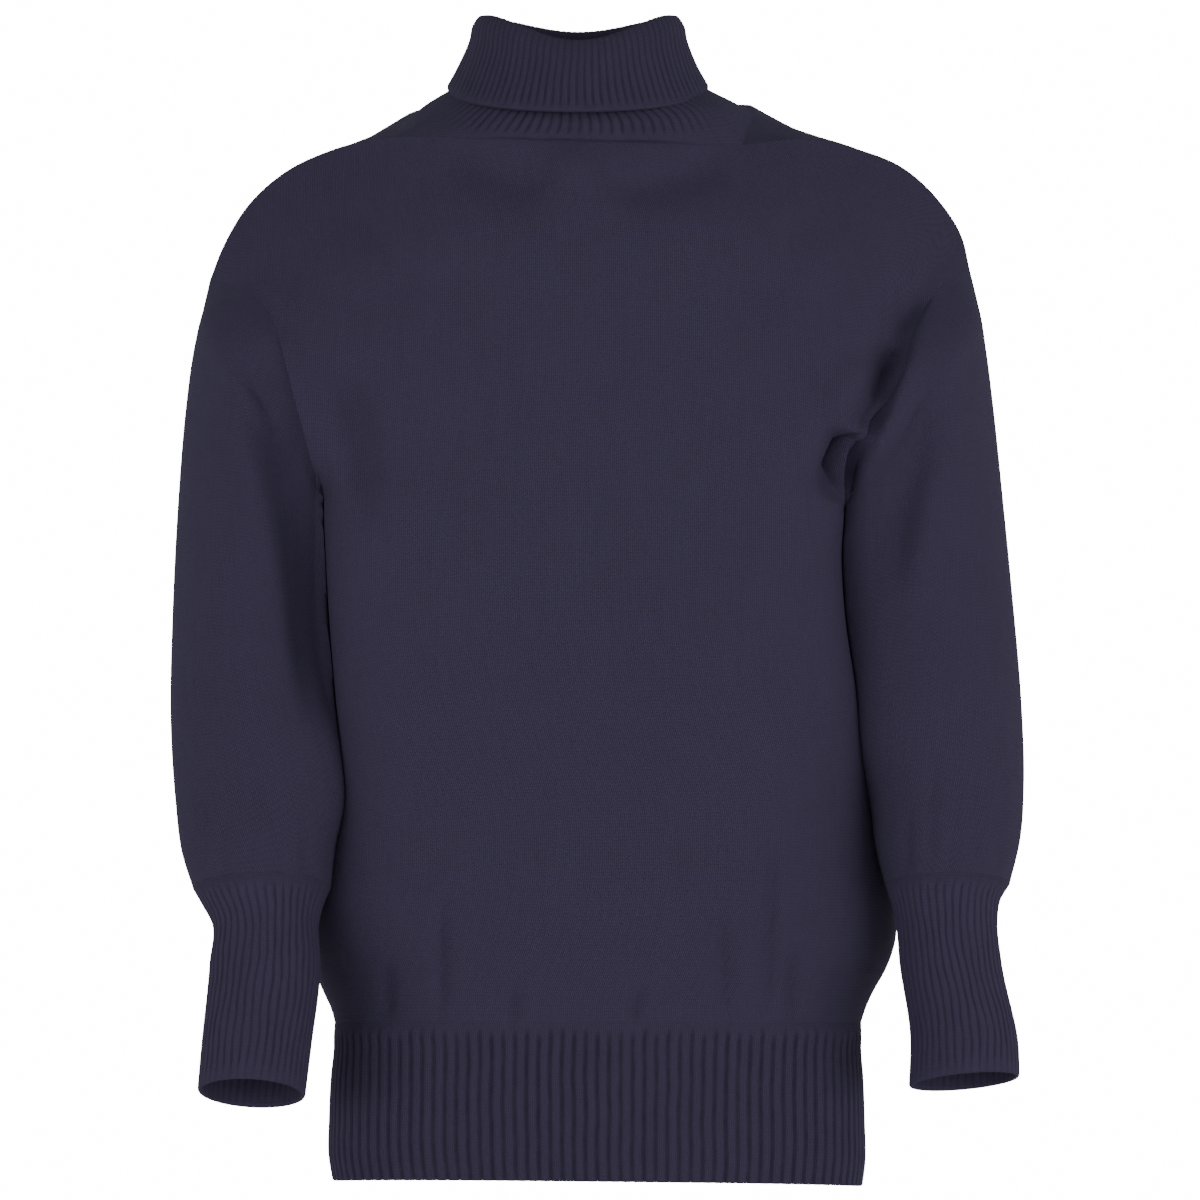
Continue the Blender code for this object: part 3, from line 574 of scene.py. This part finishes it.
class Shade:
    """A value, colour or direction inside a material. Sums on it add the nodes that work them out."""

    def __init__(self, tree, socket=None):
        self.tree = tree
        self.socket = socket

    def node(self, kind, settings=None, sockets=None, output=0):
        """Adds a node, with its settings first and then the values or links of its sockets."""
        made = self.tree.nodes.new(kind)
        for key, value in (settings or {}).items():
            setattr(made, key, value)
        for key, value in (sockets or {}).items():
            if isinstance(value, Shade):
                self.tree.links.new(value.socket, made.inputs[key])
            else:
                made.inputs[key].default_value = value
        return Shade(self.tree, made.outputs[output])

    def sum(self, operation, first, second=0.0):
        return self.node("ShaderNodeMath", {"operation": operation}, {0: first, 1: second})

    def __add__(self, other):
        return self.sum("ADD", self, other)

    __radd__ = __add__

    def __sub__(self, other):
        return self.sum("SUBTRACT", self, other)

    def __rsub__(self, other):
        return self.sum("SUBTRACT", other, self)

    def __mul__(self, other):
        return self.sum("MULTIPLY", self, other)

    __rmul__ = __mul__

    def __pow__(self, other):
        return self.sum("POWER", self, other)

    def __abs__(self):
        return self.sum("ABSOLUTE", self)

    def part(self):
        """What is left after the whole number."""
        return self.sum("FRACT", self)

    def wave(self):
        """Rises from 0 to 1 and falls back over one whole step."""
        return self.sum("SINE", self.part() * math.pi)

    def least(self, other):
        return self.sum("MINIMUM", self, other)

    def most(self, other):
        return self.sum("MAXIMUM", self, other)

    def blend(self, dark, light):
        """A colour between two, by this value."""
        return self.node("ShaderNodeMix", {"data_type": "RGBA"}, {0: self, 6: dark, 7: light}, 2)

    def noise(self, place, scale, detail, roughness):
        """Soft random spots over the places given, from 0 to 1."""
        sockets = {0: place, "Scale": scale, "Detail": detail, "Roughness": roughness}
        return self.node("ShaderNodeTexNoise", None, sockets)


def stitch_legs(wale, course, hollow=None):
    """How high the yarn stands in stocking stitch, from 0 between stitches to 1 on a leg.

    A plain piece has no channels, so hollow changes nothing here.
    """
    column = abs(wale.part() - 0.5)
    across = (column - 0.25) * 4
    leg = (1 - across * across).most(0.0)
    lean = (course - column * 1.5).wave()
    return (leg ** 0.6) * (0.35 + 0.65 * lean ** 0.7)


def wool(name, colour, height_of, channel_shade=0.0):
    """Navy wool on the piece's own stitch map, with painted shade in its channels: darker there by the
    share given.
    """
    material = bpy.data.materials.new(name)
    material.use_nodes = True
    tree = material.node_tree
    shader = tree.nodes["Principled BSDF"]
    start = Shade(tree)
    stitches = start.node("ShaderNodeUVMap", {"uv_map": "stitches"})
    wale = start.node("ShaderNodeSeparateXYZ", None, {0: stitches})
    course = Shade(tree, wale.socket.node.outputs[1])
    hollow = start.node("ShaderNodeAttribute", {"attribute_name": "hollow"}, None, 2)
    where = start.node("ShaderNodeTexCoord", None, None, 3)
    # the yarn's halo, wide soft clouds, and streaks that run along the columns of stitches
    fuzz = start.noise(where, 900.0, 3.0, 0.7)
    cloud = start.noise(where, 22.0, 3.0, 0.55)
    strand = start.node("ShaderNodeCombineXYZ", None, {0: wale * 0.9, 1: course * 0.05})
    streak = start.noise(strand, 1.0, 2.0, 0.6)
    height = height_of(wale, course, hollow)
    shade = (height * 0.62 + 0.38 + (fuzz - 0.5) * 0.55) * (0.93 + 0.14 * cloud)
    # painted shade: the colour is darkened where the ribs' channels sink, by their depth
    shade = shade * (0.88 + 0.24 * streak) * (1 - channel_shade * hollow)
    dark = tuple(YARN_SHADOW * part for part in colour)
    light = tuple(YARN_LIGHT * part for part in colour)
    tree.links.new(shade.blend((*dark, 1), (*light, 1)).socket, shader.inputs["Base Color"])
    relief = {"Height": height + 0.35 * fuzz, "Distance": YARN_HEIGHT, "Strength": 0.75}
    bump = start.node("ShaderNodeBump", None, relief)
    tree.links.new(bump.socket, shader.inputs["Normal"])
    shader.inputs["Roughness"].default_value = 0.95
    shader.inputs["Specular IOR Level"].default_value = 0.08
    shader.inputs["Sheen Weight"].default_value = 0.03
    shader.inputs["Sheen Roughness"].default_value = 0.5
    shader.inputs["Sheen Tint"].default_value = (0.62, 0.62, 0.85, 1)
    return material


plain_wool = wool("stocking_stitch", NAVY, stitch_legs)
# two faces that meet at more than this angle, in degrees, show an edge
SHARP_EDGE = 70


def stitch_map(grid, closed, home):
    """Each cell's place in stitches: its left and its right edge, row by row, from the home column."""
    ring_of = np.concatenate([grid, grid[:, :1]], axis=1) if closed else grid
    steps = np.linalg.norm(np.diff(ring_of, axis=1), axis=2)
    across = np.concatenate([np.zeros((len(grid), 1)), np.cumsum(steps, axis=1)], axis=1)
    left = across[:, :-1] - across[:, home:home + 1]
    if closed:
        left = np.where(left > across[:, -1:] / 2, left - across[:, -1:], left)
    rises = np.linalg.norm(np.diff(ring_of, axis=0), axis=2)
    up = np.concatenate([np.zeros((1, ring_of.shape[1])), np.cumsum(rises, axis=0)], axis=0)
    left_up = np.stack([left / WALE, up[:, :-1] / COURSE], axis=2)
    right_up = np.stack([(left + steps) / WALE, up[:, 1:] / COURSE], axis=2)
    return left_up, right_up


def cloth(name, outer, inner, maps, closed, flip, material, keep=None, hollow=None):
    """A thin shell between an outer and an inner grid of points, rimmed at each free edge."""
    rows, width = outer.shape[:2]
    cells = width if closed else width - 1
    used = np.ones((rows - 1, cells), bool)
    if keep is not None:
        used = keep(rows - 1, cells)
    number = np.arange(rows * width).reshape(rows, width)
    total = rows * width
    left, right = maps
    r, c = np.nonzero(used)
    beside = (c + 1) % width
    quads = np.stack([number[r, c], number[r, beside], number[r + 1, beside], number[r + 1, c]], axis=1)
    places = np.stack([left[r, c], right[r, c], right[r + 1, c], left[r + 1, c]], axis=1)
    faces = [quads, quads[:, ::-1] + total]
    stitches = [places, places[:, ::-1]]
    padded = np.zeros((rows + 1, cells + 2), bool)
    padded[1:-1, 1:-1] = used
    if closed:
        padded[1:-1, 0] = used[:, -1]
        padded[1:-1, -1] = used[:, 0]
    # for each side of a cell: the step to its neighbour, and the two corners of the side
    for row_step, column_step, first, second in (
        (-1, 0, 1, 0), (1, 0, 3, 2), (0, 1, 2, 1), (0, -1, 0, 3),
    ):
        bare = ~padded[r + 1 + row_step, c + 1 + column_step]
        start = quads[bare, first]
        end = quads[bare, second]
        faces.append(np.stack([start, end, end + total, start + total], axis=1))
        edge = np.stack([places[bare, first], places[bare, second]], axis=1)
        stitches.append(np.concatenate([edge, edge[:, ::-1]], axis=1))
    faces = np.concatenate(faces)
    stitches = np.concatenate(stitches)
    if flip:
        faces = faces[:, ::-1]
        stitches = stitches[:, ::-1]
    points = np.concatenate([outer.reshape(-1, 3), inner.reshape(-1, 3)]) / 1000
    kept, renumbered = np.unique(faces, return_inverse=True)
    mesh = bpy.data.meshes.new(name)
    mesh.from_pydata(points[kept].tolist(), [], renumbered.reshape(-1, 4).tolist())
    layer = mesh.uv_layers.new(name="stitches")
    layer.data.foreach_set("uv", stitches.reshape(-1))
    # each point's channel depth, which the wool also uses for painted shade
    if hollow is not None:
        sunk = mesh.attributes.new("hollow", "FLOAT", "POINT")
        sunk.data.foreach_set("value", np.tile(hollow.reshape(-1), 2)[kept])
    mesh.materials.append(material)
    mesh.shade_smooth()
    mesh.set_sharp_from_angle(angle=math.radians(SHARP_EDGE))
    piece = bpy.data.objects.new(name + "_knit", mesh)
    bpy.context.scene.collection.objects.link(piece)
    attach(piece, "root")
    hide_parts(name)
    return piece


def below_neck(rows, cells):
    """The back panel's cells, without those where the neck opening is."""
    used = np.ones((rows, cells), bool)
    used[NECK_ROW:, NECK_CORNER:ACROSS - NECK_CORNER] = False
    return used


CUTS = {
    "front_body": (0.53, 0.60, 0.27),
    "back_body": (0.55, 0.66, 0.30),
    "right_sleeve": (0.42, 0.44, 0.15),
    "left_sleeve": (0.42, 0.44, 0.15),
}
for name, (width, length, area) in CUTS.items():
    closed = name.endswith("sleeve")
    grid = grids[name]
    home = 0 if closed else ACROSS // 2
    keep = below_neck if name == "back_body" else None
    piece = cloth(
        name, grid, grid - outward[name] * WALL, stitch_map(grid, closed, home),
        closed, turned[name] < 0, plain_wool, keep,
    )


# The hem rib: a deep band in two halves, seamed at the sides and knitted on to the panels. The
# raised ribs are two stitches wide, with a narrow sunk channel between them.

HEM_RIBS = 132
RIB_COLUMNS = 10
HEM_ROWS = 44
HEM_STEPS = 4001
HEM_SWAY = 0.3
HEM_PLAIN_ROWS = 2
RIB_RISE = 1.3
RIB_GROW_ROWS = 5
# half the width of a channel as a share of a rib, and the rows over which it sinks
CHANNEL_HALF = 0.3
CHANNEL_SINK_ROWS = 3
# how much thinner a rolled free edge is than its wall, and how far it stands out
RIM_SHARE = 0.6
RIM_REACH = 1.1

# right side, left side, front depth, back depth, height at right and at left, rise in the middle
HEM_SECTIONS = [
    (-157.6, 183.3, -114.2, 110.5, -598, -598, 7),
    (-157.4, 182.8, -113, 110, -607, -607, 7),
    (-159.4, 184.2, -110.5, 109, -628, -628, 7.5),
    (-160.6, 185.2, -109, 108, -655, -656, 8),
    (-160.8, 185.6, -108, 107, -679, -682, 8.5),
    (-158.4, 183.8, -107, 106, -693.5, -697, 8.5),
]
HEM_SQUARENESS = 3.6
# the lower edge is level at the side seams and rises from them in a soft curve
HEM_EDGE_CURVE = 1.5


def spread(points, values, count, closed):
    """Values carried along an edge to as many even steps as a ribbed piece has points."""
    if closed:
        points = np.concatenate([points, points[:1]])
        values = np.concatenate([values, values[:1]])
    at = along(points)
    wanted = np.linspace(0, 1, count, endpoint=not closed)
    return np.stack([np.interp(wanted, at, values[:, axis]) for axis in range(3)], axis=1)


def channels(count, columns, rows, plain_rows, seed):
    """How deep each point of a ribbed piece lies, from 0 on a rib to 1 in the channel beside it.

    A rib has as many points across as columns says. The channels start at uneven heights, after
    about as many rows as plain_rows says, and are uneven in depth along the rib.
    """
    place = (np.arange(count) % columns) / columns
    groove = eased(np.clip(1 - np.minimum(place, 1 - place) / CHANNEL_HALF, 0, 1))
    chance = np.random.default_rng(seed)
    ribs = count // columns + 1
    rib = ((np.arange(count) + columns // 2) // columns) % ribs
    row = np.arange(rows)[:, None]
    begin = plain_rows * chance.uniform(0.3, 1.2, ribs)[rib]
    strength = chance.uniform(0.88, 1.08, ribs)[rib]
    beat = chance.uniform(0, 2 * math.pi, ribs)[rib]
    uneven = 1 + 0.08 * np.sin(row * 0.55 + beat) + 0.05 * np.sin(row * 1.3 + 2 * beat)
    return groove * strength * uneven * np.clip((row - begin) / CHANNEL_SINK_ROWS, 0, 1)


def rib_stitches(wale, course, hollow):
    """Two stitches of yarn on each rib, and flat cross bars of yarn in the channels."""
    legs = stitch_legs(wale * 3 + 0.5, course)
    bars = 0.3 * course.wave()
    sunk = hollow.least(1.0)
    return (1 - sunk) * legs + sunk * bars


# the hem and collar ribbing: its channels get painted shade, darker by this share
rib_wool = wool("ribbing", (0.0335, 0.0277, 0.0528), rib_stitches, 0.32)


def rib_map(grid, closed, columns):
    """A ribbed piece's stitch map: whole ribs across, and courses up."""
    ring_of = np.concatenate([grid, grid[:, :1]], axis=1) if closed else grid
    rises = np.linalg.norm(np.diff(ring_of, axis=0), axis=2).mean(axis=1)
    up = np.concatenate([[0.0], np.cumsum(rises)]) / COURSE
    across = np.arange(ring_of.shape[1]) / columns
    both = np.stack(np.broadcast_arrays(across[None, :], up[:, None]), axis=2)
    return both[:, :-1], both[:, 1:]


def round_rim(outer, inner, hollow):
    """One more row at the free end of a wall, so that its edge is rolled and not cut square."""
    middle = (outer[-1] + inner[-1]) / 2
    beyond = unit(middle - (outer[-2] + inner[-2]) / 2) * RIM_REACH
    half = (outer[-1] - inner[-1]) / 2 * RIM_SHARE
    outer = np.concatenate([outer, [middle + half + beyond]])
    inner = np.concatenate([inner, [middle - half + beyond]])
    return outer, inner, np.concatenate([hollow, hollow[-1:]])


def swayed(grid, closed, amount, seed):
    """The same surface with its ribs wandering a little to the left and right as they rise."""
    if closed:
        along_row = np.roll(grid, -1, axis=1) - np.roll(grid, 1, axis=1)
    else:
        along_row = np.gradient(grid, axis=1)
    rows, count = grid.shape[:2]
    row = np.arange(rows)[:, None] / rows
    around = np.arange(count) / count * 2 * math.pi
    beat = np.random.default_rng(seed).uniform(0, 2 * math.pi, 3)
    sway = np.sin(9 * row + 3 * around + beat[0]) + 0.6 * np.sin(17 * row - 5 * around + beat[1])
    sway = sway + 0.35 * np.sin(31 * row + 9 * around + beat[2])
    if not closed:
        sway = sway * np.sin(around / 2)
    return grid + unit(along_row) * (amount * sway * np.sin(math.pi * row) ** 0.5)[..., None]


for name, side in (("front_hem_rib", -1), ("back_hem_rib", 1)):
    body = name.replace("hem_rib", "body")
    count = HEM_RIBS // 2 * RIB_COLUMNS + 1
    rows = [spread(grids[body][0], grids[body][0], count, False)]
    way = np.sin(np.linspace(-math.pi / 2, math.pi / 2, HEM_STEPS))
    swell = (1 - np.abs(way) ** HEM_SQUARENESS) ** (1 / HEM_SQUARENESS)
    for right, left, front, back, right_height, left_height, rise in HEM_SECTIONS:
        depth = front if side < 0 else back
        height = right_height + (left_height - right_height) * (way + 1) / 2
        height = height + rise * swell ** HEM_EDGE_CURVE
        x = right + (left - right) * (way + 1) / 2
        rows.append(evenly(np.stack([x, SEAM_GAP * side + swell * depth, height], axis=1), count))
    heights = [HEM_TOP] + [row[4] for row in HEM_SECTIONS]
    places = [(HEM_TOP - height) / (HEM_TOP - heights[-1]) for height in heights]
    grid = smooth_through(places, rows, np.linspace(0, 1, HEM_ROWS))
    grid = swayed(grid, False, HEM_SWAY, seed=11 + side)
    out = facing(grid, False) * side
    out[:, 0] = (-1, 0, 0)
    out[:, -1] = (1, 0, 0)
    hollow = channels(count, RIB_COLUMNS, HEM_ROWS, HEM_PLAIN_ROWS, seed=21 + side)
    grow = np.clip(np.arange(HEM_ROWS) / RIB_GROW_ROWS, 0, 1)[:, None]
    outer = grid + out * (RIB_RISE * (0.5 * grow - hollow))[..., None]
    inner = grid - out * WALL
    outer, inner, hollow = round_rim(outer, inner, hollow)
    maps = rib_map(outer, False, RIB_COLUMNS)
    piece = cloth(name, outer, inner, maps, False, side < 0, rib_wool, hollow=hollow)


# The cuffs: long ribbed tubes knitted on to the ends of the sleeves, and slightly wavy where they
# have been pushed up the arm.

CUFF_RIBS = 42
CUFF_ROWS = 52
CUFF_SWAY = 0.6
CUFF_PLAIN_ROWS = 1
CUFF_RISE = 0.4
CUFF_CHANNEL = 0.75
CUFF_INSIDE = 0.5
# the share of the channels' depth that is left in the last rows, and the least painted shade of the
# first rows, where the sleeve's stitches run into the ribs
CUFF_EDGE = np.array((0.8, 0.6, 0.45, 0.35))
CUFF_JOIN_SHADE = np.array((0.7, 0.7, 0.5, 0.25))

# deep ribs, and their channels get painted shade by a smaller share
# the cuffs' yarn is a lighter copy of the ribbing, painted light that makes up for the shade of their
cuff_wool = wool("cuff_ribbing", (0.0376, 0.0311, 0.0594), rib_stitches, 0.22)

RIGHT_CUFF = [
    (-245.3, -502.8, -157.3, -501.6, -84, 42, 16, 1, 0),
    (-238.7, -512.9, -162.2, -512.2, -88, 38, 16, 1, 0),
    (-232.7, -523.5, -164.9, -522.9, -92, 34, 17, 1, 0),
    (-233.5, -550.4, -163.6, -550.4, -101, 32, 17, 1, 0),
    (-237.6, -600.2, -168.6, -600.2, -118, 34, 18, 1, 0),
    (-239.7, -627.6, -172.1, -630.6, -125, 36, 19, 1, 0),
]
LEFT_CUFF = [
    (276.5, -500.1, 196.6, -500.1, -72, 45, 12, 1, 0),
    (270, -510.2, 200.3, -510.2, -75, 39, 12, 1, 0),
    (267.9, -522.9, 203.4, -524.2, -78, 34, 12, 1, 0),
    (270, -549.4, 205.6, -549.4, -85, 32, 12, 1, 0),
    (280, -601.4, 212, -601.4, -99, 34, 12, 1, 0),
    (280.4, -620.2, 210.8, -626, -104, 35.5, 13, 1, 0),
]
for name, table, way in (("right_cuff", RIGHT_CUFF, -1), ("left_cuff", LEFT_CUFF, 1)):
    count = CUFF_RIBS * RIB_COLUMNS
    grid = tube(table[1:], ring(table[0], count), count, CUFF_ROWS)
    grid = swayed(grid, True, CUFF_SWAY, seed=31 + way)
    out = facing(grid, True) * way
    hollow = channels(count, RIB_COLUMNS, CUFF_ROWS, CUFF_PLAIN_ROWS, seed=41 + way)
    hollow[-len(CUFF_EDGE):] *= CUFF_EDGE[:, None]
    grow = np.clip(np.arange(CUFF_ROWS) / RIB_GROW_ROWS, 0, 1)[:, None]
    outer = grid + out * (CUFF_RISE * grow - CUFF_CHANNEL * hollow)[..., None]
    inner = grid - out * (WALL - CUFF_INSIDE * hollow[..., None])
    # colour and stitch texture are set as if in a channel
    # painted shade along the join with the sleeve: the shape is already made, so only the first rows'
    hollow[:len(CUFF_JOIN_SHADE)] = np.maximum(hollow[:len(CUFF_JOIN_SHADE)], CUFF_JOIN_SHADE[:, None])
    outer, inner, hollow = round_rim(outer, inner, hollow)
    maps = rib_map(outer, True, RIB_COLUMNS)
    piece = cloth(name, outer, inner, maps, True, way < 0, cuff_wool, hollow=hollow)


# The roll collar: one ribbed tube knitted up from the neckline, turned over outwards half way and
# left to stand, so its inside shows on the part that comes down.

COLLAR_RIBS = 92
COLLAR_COLUMNS = 8
COLLAR_ROWS = 62
COLLAR_PLAIN_ROWS = 1
COLLAR_WALL = 3.0
COLLAR_SWAY = 0.4
# half the neck opening's width and depth, by which the rings are lined up with the neckline
NECK_HALF_WIDTH = 112
NECK_HALF_DEPTH = 72
# beside the shoulders the collar is smooth: from this far out, over this width, up to this share
SHOULDER_FROM = 62
SHOULDER_OVER = 30
SHOULDER_UP_TO = 0.3

# right side, left side, front depth, back depth, height at the sides, front and back, rise between,
# and how late the height falls from the sides to the front and back
COLLAR_RINGS = [
    (-97, 102, -74, 77, 3, -14, 15, 0, 1.4),
    (-77, 78, -67, 70, 16, -2, 25, 0, 1.4),
    (-61, 61, -57, 58, 41, 20, 40, 1, 2),
    (-59, 59, -55.5, 56.5, 53, 33, 49, 2, 3),
    (-63, 63.5, -59.5, 60.5, 59.5, 39.5, 54.5, 2, 3.4),
    (-67, 67.5, -64, 65, 54.5, 34, 49.5, 2, 3),
    (-69.2, 69.6, -67.5, 68.5, 45, 24, 42, 1, 2),
    (-75, 74.8, -71, 74.5, 31.5, 10.5, 31, 0.5, 1.2),
    (-83.6, 83.4, -76, 82, 15.5, -5.5, 19, 0, 0.8),
]


def collar_ring(row, angles):
    """A ring of the collar, with a point in each direction given from the middle of the neck."""
    right, left, front, back, side_height, front_height, back_height, rise, late = row
    across = np.cos(angles)
    forward = np.sin(angles)
    x = (right + left) / 2 - across * (left - right) / 2
    y = np.where(forward > 0, front * forward, -back * forward)
    end = np.where(forward > 0, front_height, back_height)
    height = side_height + (end - side_height) * np.abs(forward) ** late
    height += np.where(forward < 0, rise * np.sin(2 * np.arcsin(forward)) ** 2, 0)
    return np.stack([x, y, height], axis=1)


def neck_edge(front, back):
    """Values round the neck opening, from the right corner across the front and back behind."""
    far = ACROSS - NECK_CORNER
    return np.concatenate([
        front[-1, NECK_CORNER:far + 1],
        back[-2:NECK_ROW - 1:-1, far],
        back[NECK_ROW, far - 1:NECK_CORNER - 1:-1],
        back[NECK_ROW + 1:-1, NECK_CORNER],
    ])


neckline = neck_edge(grids["front_body"], grids["back_body"])
neck_facing = neck_edge(outward["front_body"], outward["back_body"])
count = COLLAR_RIBS * COLLAR_COLUMNS
first = spread(neckline, neckline, count, True)
first_facing = spread(neckline, neck_facing, count, True)
angles = np.unwrap(np.arctan2(-first[:, 1] / NECK_HALF_DEPTH, -first[:, 0] / NECK_HALF_WIDTH))
rings = [first - first_facing * COLLAR_WALL / 2] + [collar_ring(row, angles) for row in COLLAR_RINGS]
middle = swayed(through(rings, COLLAR_ROWS), True, COLLAR_SWAY, seed=51)
out = facing(middle, True)
out[0] = first_facing
# share of the way from the neckline (0) over the fold (0.5) to the loose edge (1)
at = np.linspace(0, 1, COLLAR_ROWS)
# the ribs are pulled flat over the fold, at the neckline, at the loose edge and beside the shoulders,
# and are shallow where the outer part starts down
smooth = 0.75 * near(at, 0.5, 0.12) + np.clip((0.085 - at) / 0.035, 0, 1) + near(at, 1, 0.025)
beside = np.clip((np.abs(middle[..., 0]) - SHOULDER_FROM) / SHOULDER_OVER, 0, 1)
beside = beside * (at < SHOULDER_UP_TO)[:, None]
shallow = np.where(at > 0.5, np.clip(0.5 + 1.5 * (at - 0.6), 0.4, 1), 1)
hollow = channels(count, COLLAR_COLUMNS, COLLAR_ROWS, COLLAR_PLAIN_ROWS, seed=61)
hollow = hollow * (np.clip(1 - smooth, 0, 1) * shallow)[:, None] * (1 - beside)
# the wall is thicker along the linked neckline and the loose edge
linked = 1.1 * near(at, 0.035, 0.025)[:, None] * (1 - beside)
thick = linked + 0.5 * near(at, 1, 0.02)[:, None]
neck_side = middle - out * (COLLAR_WALL / 2 - 0.7 * hollow)[..., None]
far_side = middle + out * (COLLAR_WALL / 2 + thick - 0.9 * hollow)[..., None]
far_side, neck_side, hollow = round_rim(far_side, neck_side, hollow)
maps = rib_map(far_side, True, COLLAR_COLUMNS)
piece = cloth("roll_collar", far_side, neck_side, maps, True, False, rib_wool, hollow=hollow)


# The room: a pale floor well below the garment, plain white surroundings and soft lamps.

FLOOR_HEIGHT = -1.45
FLOOR_RADIUS = 5.0

bpy.ops.mesh.primitive_circle_add(
    vertices=96, radius=FLOOR_RADIUS, fill_type="NGON", location=(0, 0, FLOOR_HEIGHT),
)
floor = bpy.context.object
floor.name = "floor"
paint = bpy.data.materials.new("pale_floor")
paint.use_nodes = True
surface = paint.node_tree.nodes["Principled BSDF"]
surface.inputs["Base Color"].default_value = (0.86, 0.86, 0.86, 1)
surface.inputs["Roughness"].default_value = 0.8
floor.data.materials.append(paint)

# how bright the surroundings look, how much they light the garment, and how much less from above
SEEN_WHITE = 16.0
AROUND_LIGHT = 0.96
LESS_ABOVE = 0.6

world = bpy.context.scene.world or bpy.data.worlds.new("studio")
bpy.context.scene.world = world
world.use_nodes = True
sky = Shade(world.node_tree)
seen = sky.node("ShaderNodeLightPath")
up = sky.node("ShaderNodeSeparateXYZ", None, {0: sky.node("ShaderNodeTexCoord")}, 2)
light = AROUND_LIGHT - LESS_ABOVE * up.most(0.0)
strength = seen * SEEN_WHITE + (1 - seen) * light
backdrop = world.node_tree.nodes["Background"]
world.node_tree.links.new(strength.socket, backdrop.inputs["Strength"])
backdrop.inputs["Color"].default_value = (1, 1, 1, 1)

# name, place, what it points at, size, power
LAMPS = [
    ("left_softbox", (-3.6, -2.9, -0.8), (0, 0, -0.4), 3.2, 76),
    ("right_softbox", (3.6, -2.9, -0.8), (0, 0, -0.4), 3.2, 98),
    ("front_softbox", (0.3, -5.2, -1.1), (0, 0, -0.4), 2.2, 40),
]
for name, place, aim, size, power in LAMPS:
    lamp = bpy.data.lights.new(name, "AREA")
    lamp.shape = "DISK"
    lamp.size = size
    lamp.energy = power
    holder = bpy.data.objects.new(name, lamp)
    holder.location = place
    way = np.array(aim) - np.array(place)
    holder.rotation_euler = (
        math.atan2(math.hypot(way[0], way[1]), -way[2]),
        0,
        math.atan2(way[1], way[0]) - math.pi / 2,
    )
    bpy.context.scene.collection.objects.link(holder)

# the camera looks straight at the front and sees this width at the middle of the body, in metres
SENSOR = 36
CAMERA_DISTANCE = 4.5
SEEN_WIDTH = 0.78

lens = bpy.data.cameras.new("camera")
lens.sensor_width = SENSOR
lens.lens = SENSOR * CAMERA_DISTANCE / SEEN_WIDTH
camera = bpy.data.objects.new("camera", lens)
camera.location = (0.0143, -CAMERA_DISTANCE, -0.3185)
camera.rotation_euler = (math.pi / 2, 0, 0)
bpy.context.scene.collection.objects.link(camera)
bpy.context.scene.camera = camera
